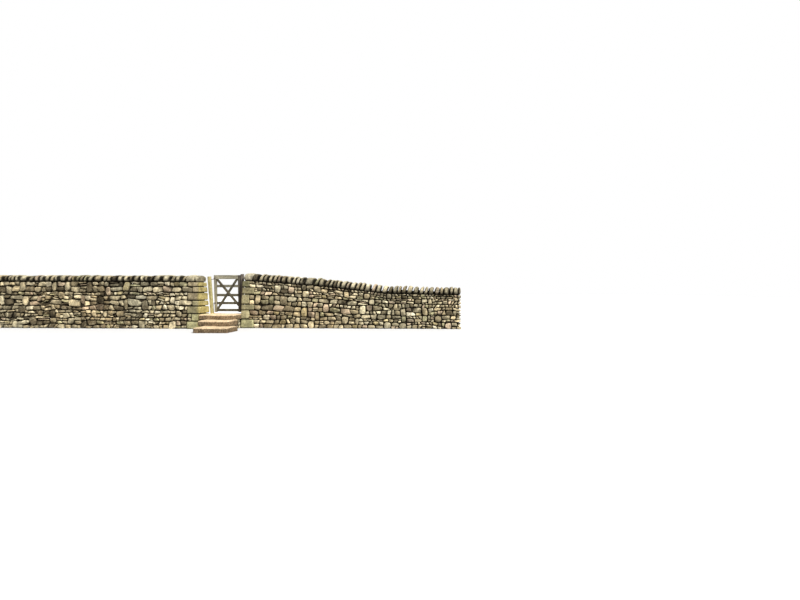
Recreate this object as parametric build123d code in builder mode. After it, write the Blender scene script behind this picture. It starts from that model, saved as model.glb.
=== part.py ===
from build123d import *
from math import cos, radians, sin, tan
from random import Random
import os

# Dry stone field wall with a gateway, a small five-rail timber gate and stone steps up to it.
# Millimetres. X runs along the wall, Y goes away through the gateway, Z is up.
# The origin is the middle of the gateway, on the level that everything stands on.

# The wall on each side of the gateway
bay_length = 2400.0
bays_each_side = 3
wall_foot = 600.0
wall_batter = 4.5
head_batter = 1.2
gateway_width = 1190.0
right_line_y = 0.0
left_line_y = -250.0

# Height of the coping's crest at each bay end, counted outwards from the gateway
left_crest = [1760.0, 1765.0, 1770.0, 1780.0]
right_crest = [1860.0, 1690.0, 1425.0, 1380.0]

# Upright coping stones, whose heads lean away from the gateway
left_cope_height = 240.0
right_cope_height = 290.0
left_cope_lean = 6.0
right_cope_lean = 52.0
cope_overhang = 12.0
cope_width = 158.0
cope_spread = 0.34
cope_gap = 8.0
uneven_lean = 22.0
cope_taper = 9.0
shoulder_share = (0.74, 0.92)
peak_share = (0.93, 1.0)
peak_place = (0.25, 0.75)
left_seed = 7
right_seed = 11

# The coping's rounded section: shares of its half length and of its height, from below its foot to the crest
crest_section = [(1.0, -1.0), (1.0, 0.5), (0.88, 0.72), (0.62, 0.9), (0.28, 0.985), (0.0, 1.0)]

# Squared stones that finish each side of the gateway
left_courses = [250.0, 240.0, 250.0, 180.0, 260.0, 185.0]
right_courses = [300.0, 297.0, 186.0, 334.0, 233.0]
long_quoin = 430.0
short_quoin = 270.0
quoin_arris = 9.0

# Steps and threshold
threshold_top = 460.0
threshold_front = 560.0
threshold_back = 160.0
tread = 440.0
step_bearing = 70.0
step_width = 1000.0
step_middles = [0.0, 140.0, 400.0]
step_skew = 34.0
step_nosing = 18.0
worn_depth = 9.0
worn_width = 760.0

# Gate posts
left_post_size = 88.0
left_post_x = -492.0
left_post_height = 1705.0
left_post_lean = 3.5
right_post_width = 82.0
right_post_depth = 90.0
right_post_x = 535.0
right_post_height = 1790.0
post_top_fall = 8.0
post_chamfer = 8.0
seat_clearance = 0.3

# Gate leaf
leaf_foot = 510.0
leaf_height = 1240.0
latch_edge = 470.0
stile_width = 75.0
stile_thickness = 60.0
rail_thickness = 28.0
top_rail_height = 130.0
rail_height = 88.0
rail_centres = [577.0, 812.0, 1080.0, 1385.0]
rail_names = ["bottom_rail", "fourth_rail", "third_rail", "second_rail"]
tenon_shoulder = 12.0
tenon_thickness = 14.0
timber_chamfer = 3.0
brace_width = 76.0
brace_thickness = 22.0
rising_brace_foot = 560.0
rising_brace_head = 1655.0
falling_brace_head = 1655.0
falling_brace_foot = 765.0

# Hooks on the post and the bands that hang on them
pin_x = -445.0
pin_y = 20.0
pin_radius = 8.0
pin_clearance = 0.5
boss_radius = 13.0
boss_height = 22.0
pin_height = 48.0
shank_radius = 8.0
shank_depth = 70.0
heel_gap = 22.0
band_height = 36.0
band_thickness = 6.0
band_reach = 62.0
top_band_z = 1640.0
bottom_band_z = 812.0


def wall_half(z):
    """Half the wall's thickness at a height."""
    return wall_foot / 2 - z * tan(radians(wall_batter))


def head_at(z):
    """How far the battered head stands from the gateway's middle at a height."""
    return gateway_width / 2 + z * tan(radians(head_batter))


def run_end(bay):
    """Distance from the gateway's middle to a bay's end."""
    return gateway_width / 2 + bay * bay_length


def masonry(side, line_y, run_from, run_to, z_low, z_high):
    """A straight length of wall, battered on both faces, as a BuildPart."""
    low = wall_half(z_low)
    high = wall_half(z_high)
    start = min(side * run_from, side * run_to)
    with BuildPart() as block:
        with BuildSketch(Plane.YZ.offset(start)):
            with BuildLine():
                Polyline(
                    (line_y - low, z_low),
                    (line_y + low, z_low),
                    (line_y + high, z_high),
                    (line_y - high, z_high),
                    close=True,
                )
            make_face()
        extrude(amount=run_to - run_from)
    return block


def bay_top(side, bay, crest, cope_height):
    """The sloping plane that a bay's coping stands on."""
    rise = crest[bay + 1] - crest[bay]
    start = (side * run_end(bay), 0, crest[bay] - cope_height)
    return Plane(origin=start, z_dir=(-side * rise, 0, bay_length))


def head_plane(side):
    """The leaning plane of a wall head, facing the gateway."""
    lean = radians(head_batter)
    start = (side * gateway_width / 2, 0, 0)
    return Plane(origin=start, z_dir=(-side * cos(lean), 0, sin(lean)))


def course_levels(courses, top):
    """The bed heights of a head's stones, from the foot to the top."""
    levels = [0.0]
    for height in courses:
        levels.append(levels[-1] + height)
    levels.append(top)
    return levels


def quoin_run(course):
    """Where a head stone ends in the wall: long and short ones take turns."""
    length = long_quoin if course % 2 == 0 else short_quoin
    return gateway_width / 2 + length


def save(part, name):
    """Labels a finished piece and writes it to its own file."""
    part.label = name
    export_step(part, "parts/" + name + ".step")


os.makedirs("parts", exist_ok=True)

sides = [
    ("left", -1, left_line_y, left_crest, left_cope_height, left_courses),
    ("right", 1, right_line_y, right_crest, right_cope_height, right_courses),
]
cope_ways = {"left": (left_cope_lean, left_seed), "right": (right_cope_lean, right_seed)}

# Wall bays: the first of each side is toothed to take the head stones
for name, side, line_y, crest, cope_height, courses in sides:
    for bay in range(bays_each_side):
        top = max(crest[bay], crest[bay + 1]) - cope_height
        wall_bay = masonry(side, line_y, run_end(bay), run_end(bay + 1), 0.0, top)
        levels = course_levels(courses, top) if bay == 0 else []
        with wall_bay:
            split(bisect_by=bay_top(side, bay, crest, cope_height), keep=Keep.BOTTOM)
            for course, (low, high) in enumerate(zip(levels, levels[1:])):
                length = quoin_run(course) - run_end(0)
                middle_x = side * (run_end(0) + length / 2)
                with Locations((middle_x, line_y, (low + high) / 2)):
                    Box(length, wall_foot, high - low, mode=Mode.SUBTRACT)
        save(wall_bay.part, name + "_wall_bay_" + str(bay + 1))

# Head stones: each one runs through the wall, leans back with the head and has worn arrises
for name, side, line_y, crest, cope_height, courses in sides:
    top = max(crest[0], crest[1]) - cope_height
    levels = course_levels(courses, top)
    for course, (low, high) in enumerate(zip(levels, levels[1:])):
        quoin = masonry(side, line_y, run_end(0), quoin_run(course), low, high)
        with quoin:
            split(bisect_by=head_plane(side), keep=Keep.BOTTOM)
            split(bisect_by=bay_top(side, 0, crest, cope_height), keep=Keep.BOTTOM)
            chamfer(quoin.edges(), length=quoin_arris)
        save(quoin.part, name + "_head_stone_" + str(course + 1))


def cope_joints(bay, run_from, lean, chance):
    """Uneven stone widths that fill a bay: where each joint stands, and how far its head leans."""
    run_to = run_end(bay + 1)
    count = round((run_to - run_from) / cope_width)
    widths = [1 + cope_spread * chance.uniform(-1, 1) for stone in range(count)]
    scale = (run_to - run_from) / sum(widths)
    places = [run_from]
    for width in widths:
        places.append(places[-1] + width * scale)
    leans = [lean + uneven_lean * chance.uniform(-1, 1) for place in places]
    leans[0] = 0.0 if bay == 0 else lean
    leans[-1] = 0.0 if bay == bays_each_side - 1 else lean
    return list(zip(places, leans))


# Coping: upright stones across the wall top, tapered, leaning unevenly and rounded over
far_half = crest_section[-2::-1]
for name, side, line_y, crest, cope_height, courses in sides:
    lean, seed = cope_ways[name]
    chance = Random(seed)
    for bay in range(bays_each_side):
        base_start = crest[bay] - cope_height
        slope = (crest[bay + 1] - crest[bay]) / bay_length
        half_length = wall_half(min(crest[bay], crest[bay + 1]) - cope_height) + cope_overhang
        run_from = head_at(base_start) if bay == 0 else run_end(bay)
        joints = cope_joints(bay, run_from, lean, chance)
        with BuildPart() as coping:
            with BuildSketch(Plane.XZ.offset(-line_y)):
                for (near, near_lean), (far, far_lean) in zip(joints, joints[1:]):
                    near_foot = near + cope_gap / 2
                    far_foot = far - cope_gap / 2
                    near_z = base_start + slope * (near_foot - run_end(bay))
                    far_z = base_start + slope * (far_foot - run_end(bay))
                    near_rise = cope_height * chance.uniform(*shoulder_share)
                    far_rise = cope_height * chance.uniform(*shoulder_share)
                    near_head = near_foot + cope_taper + near_lean * near_rise / cope_height
                    far_head = far_foot - cope_taper + far_lean * far_rise / cope_height
                    peak = near_head + (far_head - near_head) * chance.uniform(*peak_place)
                    peak_z = base_start + slope * (peak - run_end(bay))
                    with BuildLine():
                        Polyline(
                            (side * near_foot, near_z),
                            (side * far_foot, far_z),
                            (side * far_head, far_z + far_rise),
                            (side * peak, peak_z + cope_height * chance.uniform(*peak_share)),
                            (side * near_head, near_z + near_rise),
                            close=True,
                        )
                    make_face()
            extrude(amount=half_length, both=True)
            section_start = Plane.YZ.offset(side * (run_end(bay) - cope_width))
            foot_z = base_start - slope * cope_width
            with BuildSketch(section_start, mode=Mode.PRIVATE) as section:
                with BuildLine():
                    Polyline(
                        *[(line_y + y * half_length, foot_z + z * cope_height) for y, z in crest_section],
                        *[(line_y - y * half_length, foot_z + z * cope_height) for y, z in far_half],
                        close=True,
                    )
                make_face()
            reach = (bay_length + 2 * cope_width) * (1 + slope ** 2) ** 0.5
            extrude(section.sketch, amount=reach, dir=(side, 0, slope), mode=Mode.INTERSECT)
        save(coping.part, name + "_coping_" + str(bay + 1))


def post_prism(size_x, size_y, foot_x, lean_degrees, height, allowance):
    """A square post that leans from its foot and is cut level at the ground."""
    lean = radians(lean_degrees)
    below = (size_x + size_y) * tan(lean) + allowance
    along = Vector(-sin(lean), 0, cos(lean))
    foot = Vector(foot_x, 0, 0) - along * below
    with BuildPart() as post:
        with BuildSketch(Plane(origin=foot, x_dir=(cos(lean), 0, sin(lean)), z_dir=along)):
            Rectangle(size_x + 2 * allowance, size_y + 2 * allowance)
        extrude(amount=height / cos(lean) + below)
        split(bisect_by=Plane.XY, keep=Keep.TOP)
    return post


def left_post_prism(allowance):
    return post_prism(
        left_post_size, left_post_size, left_post_x, left_post_lean, left_post_height, allowance
    )


def right_post_prism(allowance):
    return post_prism(
        right_post_width, right_post_depth, right_post_x, 0.0, right_post_height, allowance
    )


def post_face_x(z):
    """The gate side of the leaning post at a height."""
    lean = radians(left_post_lean)
    return left_post_x + left_post_size / 2 / cos(lean) - z * tan(lean)


step_count = len(step_middles)
step_rise = threshold_top / step_count
packing_top = threshold_top - step_rise
seats = [left_post_prism(seat_clearance), right_post_prism(seat_clearance)]


def between_heads(z_low, z_high, front, back):
    """Masonry that fills the gateway from head to head, let in around the posts."""
    with BuildPart() as fill:
        with BuildSketch(Plane.XZ.offset(-back)):
            with BuildLine():
                Polyline(
                    (-head_at(z_low), z_low),
                    (head_at(z_low), z_low),
                    (head_at(z_high), z_high),
                    (-head_at(z_high), z_high),
                    close=True,
                )
            make_face()
        extrude(amount=back - front)
        for seat in seats:
            add(seat.part, mode=Mode.SUBTRACT)
    return fill


def wear(slab, middle_x, level, front, back):
    """Rounds a slab's front edge and treads a shallow hollow into its top, as feet do."""
    radius = (worn_width ** 2 / 4 + worn_depth ** 2) / (2 * worn_depth)
    with BuildSketch(Plane.XZ.offset(-back)) as hollow:
        with Locations((middle_x, level + radius - worn_depth)):
            Circle(radius)
    with slab:
        fillet(slab.edges().group_by(Axis.Z)[-1].sort_by(Axis.Y)[0], radius=step_nosing)
        extrude(hollow.sketch, amount=back - front, mode=Mode.SUBTRACT)


# Threshold: one slab across the gateway, let in around both posts
threshold = between_heads(packing_top, threshold_top, -threshold_front, threshold_back)
wear(threshold, 0.0, threshold_top, -threshold_front, threshold_back)
save(threshold.part, "threshold_stone")

# Steps: each slab runs back under the next one, and its front edge is a little askew
step_names = ["threshold", "upper_step", "lower_step"]
step_fronts = [threshold_front + tread * drop for drop in range(step_count)]
step_backs = [front - tread - step_bearing for front in step_fronts]
for drop in range(1, step_count):
    level = threshold_top - step_rise * drop
    middle_x = step_middles[drop]
    skew = step_skew * (-1) ** drop
    with BuildPart() as step:
        with BuildSketch(Plane.XY.offset(level - step_rise)):
            with BuildLine():
                Polyline(
                    (middle_x - step_width / 2, -step_backs[drop]),
                    (middle_x - step_width / 2 - skew, -step_fronts[drop] - skew / 2),
                    (middle_x + step_width / 2 - skew, -step_fronts[drop] + skew / 2),
                    (middle_x + step_width / 2, -step_backs[drop]),
                    close=True,
                )
            make_face()
        extrude(amount=step_rise)
    riser_above = -step_fronts[drop - 1] - step_skew / 2
    wear(step, middle_x, level, -step_fronts[drop] - step_skew, riser_above)
    save(step.part, step_names[drop])

# Packing: rubble that carries the threshold and the back of the upper step
packing = between_heads(0.0, packing_top, -step_backs[1], threshold_back)
toe_depth = step_backs[2] - step_backs[1]
with packing:
    with Locations((step_middles[1], -step_backs[1] - toe_depth / 2, (packing_top - step_rise) / 2)):
        Box(step_width - 2 * step_bearing, toe_depth, packing_top - step_rise)
save(packing.part, "step_packing")

# Posts: the left one leans to the wall and is bored for its two hooks
hook_levels = [("top", top_band_z), ("bottom", bottom_band_z)]
shank_levels = [z - band_height / 2 - seat_clearance - boss_height / 2 for name, z in hook_levels]
left_post = left_post_prism(0.0)
with left_post:
    chamfer(left_post.faces().sort_by(Axis.Z)[-1].edges(), length=post_chamfer)
for level in shank_levels:
    with BuildSketch(Plane(origin=(pin_x, pin_y, level), z_dir=(-1, 0, 0))) as bore:
        Circle(shank_radius + seat_clearance)
    with left_post:
        extrude(bore.sketch, amount=pin_x - post_face_x(level) + shank_depth, mode=Mode.SUBTRACT)
save(left_post.part, "left_gatepost")

# The right post is upright, and its top is cut to shed water
fall = radians(post_top_fall)
right_post = right_post_prism(0.0)
with right_post:
    peak_z = right_post_height - right_post_depth / 2 * tan(fall)
    weathering = Plane(origin=(right_post_x, 0, peak_z), z_dir=(0, -sin(fall), cos(fall)))
    split(bisect_by=weathering, keep=Keep.BOTTOM)
    chamfer(right_post.edges().filter_by(Axis.Z), length=post_chamfer)
save(right_post.part, "right_gatepost")

# Hooks: a shank driven into the post, a round shoulder and an upright pin
for (name, z), level in zip(hook_levels, shank_levels):
    shank_start = post_face_x(level) - shank_depth
    with BuildPart() as hook:
        with BuildSketch(Plane(origin=(pin_x, pin_y, level - boss_height / 2), z_dir=(0, 0, 1))):
            Circle(boss_radius)
        extrude(amount=boss_height)
        with BuildSketch(Plane(origin=(pin_x, pin_y, level), z_dir=(0, 0, 1))):
            Circle(pin_radius)
        extrude(amount=boss_height / 2 + pin_height)
        with BuildSketch(Plane(origin=(shank_start, pin_y, level), z_dir=(1, 0, 0))):
            Circle(shank_radius)
        extrude(amount=pin_x - shank_start)
    save(hook.part, name + "_hook")

# Gate leaf
heel_edge = pin_x + heel_gap
leaf_top = leaf_foot + leaf_height
rail_from = heel_edge + stile_width
rail_to = latch_edge - stile_width
rails = [(name, z, rail_height, rail_thickness) for name, z in zip(rail_names, rail_centres)]
rails.append(("top_rail", leaf_top - top_rail_height / 2, top_rail_height, stile_thickness))

# Stiles, with a through mortise for each rail
for name, left_edge in [("heel_stile", heel_edge), ("latch_stile", rail_to)]:
    centre_x = left_edge + stile_width / 2
    with BuildPart() as stile:
        with Locations((centre_x, 0, leaf_foot + leaf_height / 2)):
            Box(stile_width, stile_thickness, leaf_height)
        chamfer(stile.edges().filter_by(Axis.Z), length=timber_chamfer)
        for rail_name, z, height, thickness in rails:
            with Locations((centre_x, 0, z)):
                Box(stile_width, tenon_thickness, height - 2 * tenon_shoulder, mode=Mode.SUBTRACT)
    save(stile.part, name)

# Rails, tenoned right through both stiles
for name, z, height, thickness in rails:
    with BuildPart() as rail:
        with Locations(((rail_from + rail_to) / 2, 0, z)):
            Box(rail_to - rail_from, thickness, height)
        chamfer(rail.edges().filter_by(Axis.X), length=timber_chamfer)
        with Locations(((heel_edge + latch_edge) / 2, 0, z)):
            Box(latch_edge - heel_edge, tenon_thickness, height - 2 * tenon_shoulder)
    save(rail.part, name)


def brace_board(left_z, right_z, front, back):
    """A board between the stiles, from one height at the heel to another at the latch side."""
    run = rail_to - rail_from
    slope = (right_z - left_z) / run
    half = brace_width / 2 * (1 + slope ** 2) ** 0.5
    with BuildPart() as board:
        with BuildSketch(Plane.XZ.offset(-back)):
            with BuildLine():
                Polyline(
                    (rail_from, left_z - half),
                    (rail_to, right_z - half),
                    (rail_to, right_z + half),
                    (rail_from, left_z + half),
                    close=True,
                )
            make_face()
        extrude(amount=back - front)
        split(bisect_by=Plane.XY.offset(leaf_top - top_rail_height), keep=Keep.BOTTOM)
        split(bisect_by=Plane.XY.offset(leaf_foot), keep=Keep.TOP)
    return board


# Crossed brace on the near face of the rails, halved where the two boards cross
brace_back = -rail_thickness / 2
brace_front = brace_back - brace_thickness
halving = brace_back - brace_thickness / 2
rising = brace_board(rising_brace_foot, rising_brace_head, brace_front, brace_back)
falling = brace_board(falling_brace_head, falling_brace_foot, brace_front, brace_back)
rising_notch = brace_board(falling_brace_head, falling_brace_foot, brace_front, halving)
falling_notch = brace_board(rising_brace_foot, rising_brace_head, halving, brace_back)
with rising:
    add(rising_notch.part, mode=Mode.SUBTRACT)
with falling:
    add(falling_notch.part, mode=Mode.SUBTRACT)
save(rising.part, "rising_brace")
save(falling.part, "falling_brace")

# Bands: each wraps the heel stile and ends in an eye that drops over a hook
for name, z in hook_levels:
    with BuildPart() as band:
        with BuildSketch(Plane.XY.offset(z - band_height / 2)):
            with Locations((heel_edge + (band_reach - band_thickness) / 2, 0)):
                Rectangle(band_reach + band_thickness, stile_thickness + 2 * band_thickness)
            with Locations((heel_edge + stile_width, 0)):
                Rectangle(2 * stile_width, stile_thickness, mode=Mode.SUBTRACT)
            with Locations((pin_x, pin_y)):
                Circle(boss_radius)
            with Locations(((pin_x + heel_edge - band_thickness) / 2, pin_y)):
                Rectangle(heel_edge - band_thickness - pin_x, boss_radius)
            with Locations((pin_x, pin_y)):
                Circle(pin_radius + pin_clearance, mode=Mode.SUBTRACT)
        extrude(amount=band_height)
    save(band.part, name + "_band")

swing_radius = ((latch_edge - pin_x) ** 2 + (stile_thickness / 2 + pin_y) ** 2) ** 0.5
post_gap = right_post_x - right_post_width / 2 - pin_x - swing_radius
print("the leaf clears the right post by", round(post_gap, 1))
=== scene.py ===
# %% [markdown]
# A dry stone field wall with a gateway in it. A small timber gate hangs between two posts,
# and three stone steps climb to it. Nothing but weight holds the wall together: rough stones
# are laid in rows on both faces, and upright coping stones sit across the top.
# The construction model gives every size and place. This lesson gives each stone and board
# its own shape and its own weathered surface, because a wall like this is all surface.

# %% Load the frame
from math import cos, pi, radians, sin, tan
from types import SimpleNamespace
import bpy
import numpy as np
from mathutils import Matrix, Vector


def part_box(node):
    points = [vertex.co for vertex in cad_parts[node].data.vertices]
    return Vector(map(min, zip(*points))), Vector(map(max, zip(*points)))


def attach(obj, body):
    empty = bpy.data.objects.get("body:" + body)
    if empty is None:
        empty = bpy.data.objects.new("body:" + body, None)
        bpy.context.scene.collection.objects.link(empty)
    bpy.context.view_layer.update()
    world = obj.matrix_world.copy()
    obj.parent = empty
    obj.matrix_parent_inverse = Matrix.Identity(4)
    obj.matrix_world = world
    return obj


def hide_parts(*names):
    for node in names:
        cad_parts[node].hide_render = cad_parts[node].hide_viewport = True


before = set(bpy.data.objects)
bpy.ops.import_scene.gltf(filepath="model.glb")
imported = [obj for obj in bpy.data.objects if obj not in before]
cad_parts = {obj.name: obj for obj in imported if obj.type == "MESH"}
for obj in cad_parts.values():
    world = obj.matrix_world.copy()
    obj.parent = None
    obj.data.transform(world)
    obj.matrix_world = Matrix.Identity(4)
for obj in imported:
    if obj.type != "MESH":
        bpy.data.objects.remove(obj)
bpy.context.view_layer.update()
scene = bpy.context.scene
scene.view_settings.view_transform = "Standard"

# %% [markdown]
# The camera stands about ten metres in front of the wall, to the right of the gate, and 1.25 m
# above the wall's foot. Its lens is very wide, so the wall runs across the picture as a
# narrow band. It looks a little to the left and a little down.

# %% Camera
camera_data = bpy.data.cameras.new("camera")
camera_data.lens = 13.5
camera_data.sensor_width = 36
camera = bpy.data.objects.new("camera", camera_data)
camera.location = (6.173, -9.891, 1.25)
camera.rotation_euler = (radians(90 - 1.9), 0, radians(2))
scene.collection.objects.link(camera)
scene.camera = camera
print("camera at", tuple(camera.location))

# %% [markdown]
# A white background could be had by turning the lamps up, but then the stones would burn out.
# Instead the sky and the floor ask what kind of ray has reached them. A ray from the camera,
# or one mirrored or let through by a surface, sees white. All other rays, which light the
# object, get a lower level.

# %% White for the camera only
def node_material(name):
    """A new material with its surface shader, ready for more nodes."""
    material = bpy.data.materials.new(name)
    material.use_nodes = True
    tree = material.node_tree
    return material, tree, tree.nodes["Principled BSDF"]


def show_white(tree, fill, white_level):
    """Gives one strength to the camera, glossy and transmission rays and another to the rest."""
    path = tree.nodes.new("ShaderNodeLightPath")
    seen = path.outputs["Is Camera Ray"]
    for kind in ("Is Glossy Ray", "Is Transmission Ray"):
        either = tree.nodes.new("ShaderNodeMath")
        either.operation = "MAXIMUM"
        tree.links.new(seen, either.inputs[0])
        tree.links.new(path.outputs[kind], either.inputs[1])
        seen = either.outputs[0]
    level = tree.nodes.new("ShaderNodeMapRange")
    level.inputs["To Min"].default_value = fill
    level.inputs["To Max"].default_value = white_level
    tree.links.new(seen, level.inputs["Value"])
    return level.outputs["Result"]


print("the rays that the camera sends see white")

# %% [markdown]
# The light comes from the right, so it strikes the left wall end and the left post full on,
# and rakes along the wall faces, where it draws every stone. A soft sun lamp gives each
# stone a shadow on its neighbour. A weak, very broad lamp behind the wall keeps its far side
# readable. An even grey sky fills the rest.

# %% Lamps and sky
sun_strength = 4.95
back_strength = 1.2
sky_strength = 0.38
world = bpy.data.worlds.new("studio")
world.use_nodes = True
scene.world = world
background = world.node_tree.nodes["Background"]
background.inputs["Color"].default_value = (1, 1, 1, 1)
world_level = show_white(world.node_tree, sky_strength, 1.0)
world.node_tree.links.new(world_level, background.inputs["Strength"])


def hang_sun(name, strength, spread, from_vertical, heading):
    """A distant lamp: its spread, its tilt from straight down and the way that it is turned, in degrees."""
    data = bpy.data.lights.new(name, "SUN")
    data.energy = strength
    data.angle = radians(spread)
    lamp = bpy.data.objects.new(name, data)
    lamp.rotation_euler = (radians(from_vertical), 0, radians(heading))
    scene.collection.objects.link(lamp)


hang_sun("sun", sun_strength, spread=9, from_vertical=54, heading=56)
hang_sun("back_light", back_strength, spread=40, from_vertical=66, heading=205)
print("sun", sun_strength, "back light", back_strength, "sky", sky_strength)

# %% [markdown]
# The floor looks pale, but returns little light: a floor that shone back would fill the joints
# and flatten the wall. It is one large square, and it is only a stage, not part of the wall.

# %% Floor
floor_reach = 60.0
floor_fill = 0.28
floor_white = 0.8
floor_mesh = bpy.data.meshes.new("floor")
floor_corners = [(-floor_reach, -floor_reach, 0), (floor_reach, -floor_reach, 0),
                 (floor_reach, floor_reach, 0), (-floor_reach, floor_reach, 0)]
floor_mesh.from_pydata(floor_corners, [], [(0, 1, 2, 3)])
floor = bpy.data.objects.new("floor", floor_mesh)
floor_material, floor_tree, floor_shader = node_material("pale floor")
floor_level = show_white(floor_tree, floor_fill, floor_white)
floor_tree.links.new(floor_level, floor_shader.inputs["Base Color"])
floor_shader.inputs["Roughness"].default_value = 0.9
floor_mesh.materials.append(floor_material)
scene.collection.objects.link(floor)
print("the floor reaches", floor_reach, "metres each way")

# %% [markdown]
# A stone is a block with flat-ish faces, knocked corners and no sharp edge. It could be
# sculpted, or cut by boolean tools, but hundreds are needed. Here each one starts as a grid
# of points on a cube. Every point is sent out from the stone's middle until it meets the
# planes that bound the stone. Where two planes are met nearly together they pull the
# point in a little, and that rounds the edge as weather does. The stone never leaves its planes.

# %% Skin of a block
skins = {}
crowding = 1.5


def crowded(count):
    """Steps from -1 to 1 that crowd towards both ends."""
    steps = np.linspace(-1, 1, count + 1)
    return np.sign(steps) * (1 - (1 - np.abs(steps)) ** crowding)


def cube_skin(cuts):
    """Points of a cube's whole skin, from -1 to 1, and the quads between them, looking outwards."""
    if cuts not in skins:
        steps = [crowded(count) for count in cuts]
        places = {}
        quads = []
        for axis in range(3):
            wide, high = (cuts[other] for other in range(3) if other != axis)
            for end in (0, cuts[axis]):
                inward = (end == 0) != (axis == 1)
                for i in range(wide):
                    for j in range(high):
                        quad = []
                        for a, b in ((i, j), (i + 1, j), (i + 1, j + 1), (i, j + 1)):
                            key = [a, b]
                            key.insert(axis, end)
                            quad.append(places.setdefault(tuple(key), len(places)))
                        quads.append(quad[::-1] if inward else quad)
        points = np.array([[step[k] for step, k in zip(steps, key)] for key in places])
        skins[cuts] = (points, quads)
    return skins[cuts]


print("a coping stone's skin has", len(cube_skin((8, 13, 11))[1]), "faces")

# %% [markdown]
# A stone in a wall shows only its front. So the front gets most of the points, the sides get
# fewer and the back is one plain face, which keeps hundreds of stones light.

# %% Skin of a wall stone
back_crowding = 1.6


def face_skin(cuts, rows):
    """The same for a stone in a wall: a fine front, towards +Y, coarser sides and one plain back."""
    if (cuts, rows) not in skins:
        steps = crowded(cuts)
        wide = cuts + 1
        points = [(steps[i], 1.0, steps[j]) for j in range(wide) for i in range(wide)]
        faces = []
        for i in range(cuts):
            for j in range(cuts):
                corner = j * wide + i
                faces.append([corner, corner + wide, corner + wide + 1, corner + 1])
        rim = [*range(cuts), *(cuts + j * wide for j in range(cuts))]
        rim += [*(wide * wide - 1 - i for i in range(cuts)), *((cuts - j) * wide for j in range(cuts))]
        sides = [points[corner] for corner in rim]
        for row in range(1, rows + 1):
            behind = 1 - 2 * (row / rows) ** back_crowding
            next_rim = list(range(len(points), len(points) + len(sides)))
            points += [(x, behind, z) for x, y, z in sides]
            for n in range(len(sides)):
                m = (n + 1) % len(sides)
                faces.append([rim[n], rim[m], next_rim[m], next_rim[n]])
            rim = next_rim
        faces.append(rim)
        skins[cuts, rows] = (np.array(points), faces)
    return skins[cuts, rows]


print("a wall stone's skin has", len(face_skin(6, 3)[1]), "faces")

# %% [markdown]
# Weather works at two scales: whole faces swell and sink, and small pits cover them. A noise
# texture could push the points, but a few sine waves in random directions, added up, do
# the same in plain numbers, and they give the same stone each time.

# %% Wear
fine_bumps = (0.035, 0.09)


def unit(vectors):
    """Vectors of length one."""
    vectors = np.asarray(vectors, dtype=float)
    return vectors / np.linalg.norm(vectors, axis=-1, keepdims=True)


def ripple(points, chance, shortest, longest, waves=6):
    """Smooth bumps from -1 to 1: a few sine waves in random directions, added up."""
    total = np.zeros(len(points))
    for wave in range(waves):
        length = chance.uniform(shortest, longest)
        total += np.sin(points @ unit(chance.normal(size=3)) * (2 * pi / length) + chance.uniform(0, 2 * pi))
    return np.clip(total / (1.5 * waves ** 0.5), -1, 1)


def worn_block(grid, half, planes, hardness, pitting, chance):
    """A block bounded by planes, its edges rounded and its skin pitted inwards at two scales."""
    normals = np.array([normal for normal, reach in planes])
    reaches = np.array([reach for normal, reach in planes])
    rays = unit(grid * half)
    push = np.clip(rays @ normals.T, 0, None) / reaches
    spans = (push ** hardness).sum(axis=1) ** (-1 / hardness)
    skin = rays * spans[:, None]
    broad = ripple(skin, chance, min(half) * 0.9, max(half) * 2.2)
    fine = ripple(skin, chance, *fine_bumps)
    return skin - rays * (pitting * (0.7 + 0.45 * broad + 0.25 * fine))[:, None]


def smooth_step(values, low, high):
    """A soft change from 0 at low to 1 at high."""
    share = np.clip((values - low) / (high - low), 0, 1)
    return share * share * (3 - 2 * share)


sample = ripple(cube_skin((4, 4, 4))[0], np.random.default_rng(1), 0.5, 2.0)
print("a ripple runs from", round(sample.min(), 2), "to", round(sample.max(), 2))

# %% [markdown]
# A part is one closed solid: a stone, a board or the head of a nail. Its faces have to look
# outwards. The volume between a face and one fixed point has a sign, and the sum over all
# faces tells which way they look.

# %% Parts
def outward(points, faces):
    """The faces, turned so that they look out of the solid that they close."""
    volume = 0.0
    for face in faces:
        fan = points[list(face)]
        for first, second in zip(fan[1:], fan[2:]):
            volume += fan[0] @ np.cross(first, second)
    return [list(face)[::-1] for face in faces] if volume < 0 else [list(face) for face in faces]


def part(points, faces, grain, tint, finish=0):
    """One closed solid of a piece, with its texture place, colour and material number."""
    return SimpleNamespace(points=points, faces=faces, grain=grain, tint=np.asarray(tint), finish=finish)


print("a part brings points, faces, a texture place and a colour")

# %% [markdown]
# Many stones make one piece, because thousands of separate objects would be slow. Each part
# of a piece carries its own colour and its own texture place on its points, so that two
# neighbours never share one stain, and the shader reads both from there. The colour may change
# from point to point, which puts dirt in the joints and leaves the faces clean.

# %% Joining parts into pieces
sharp_angle = radians(38)


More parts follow.
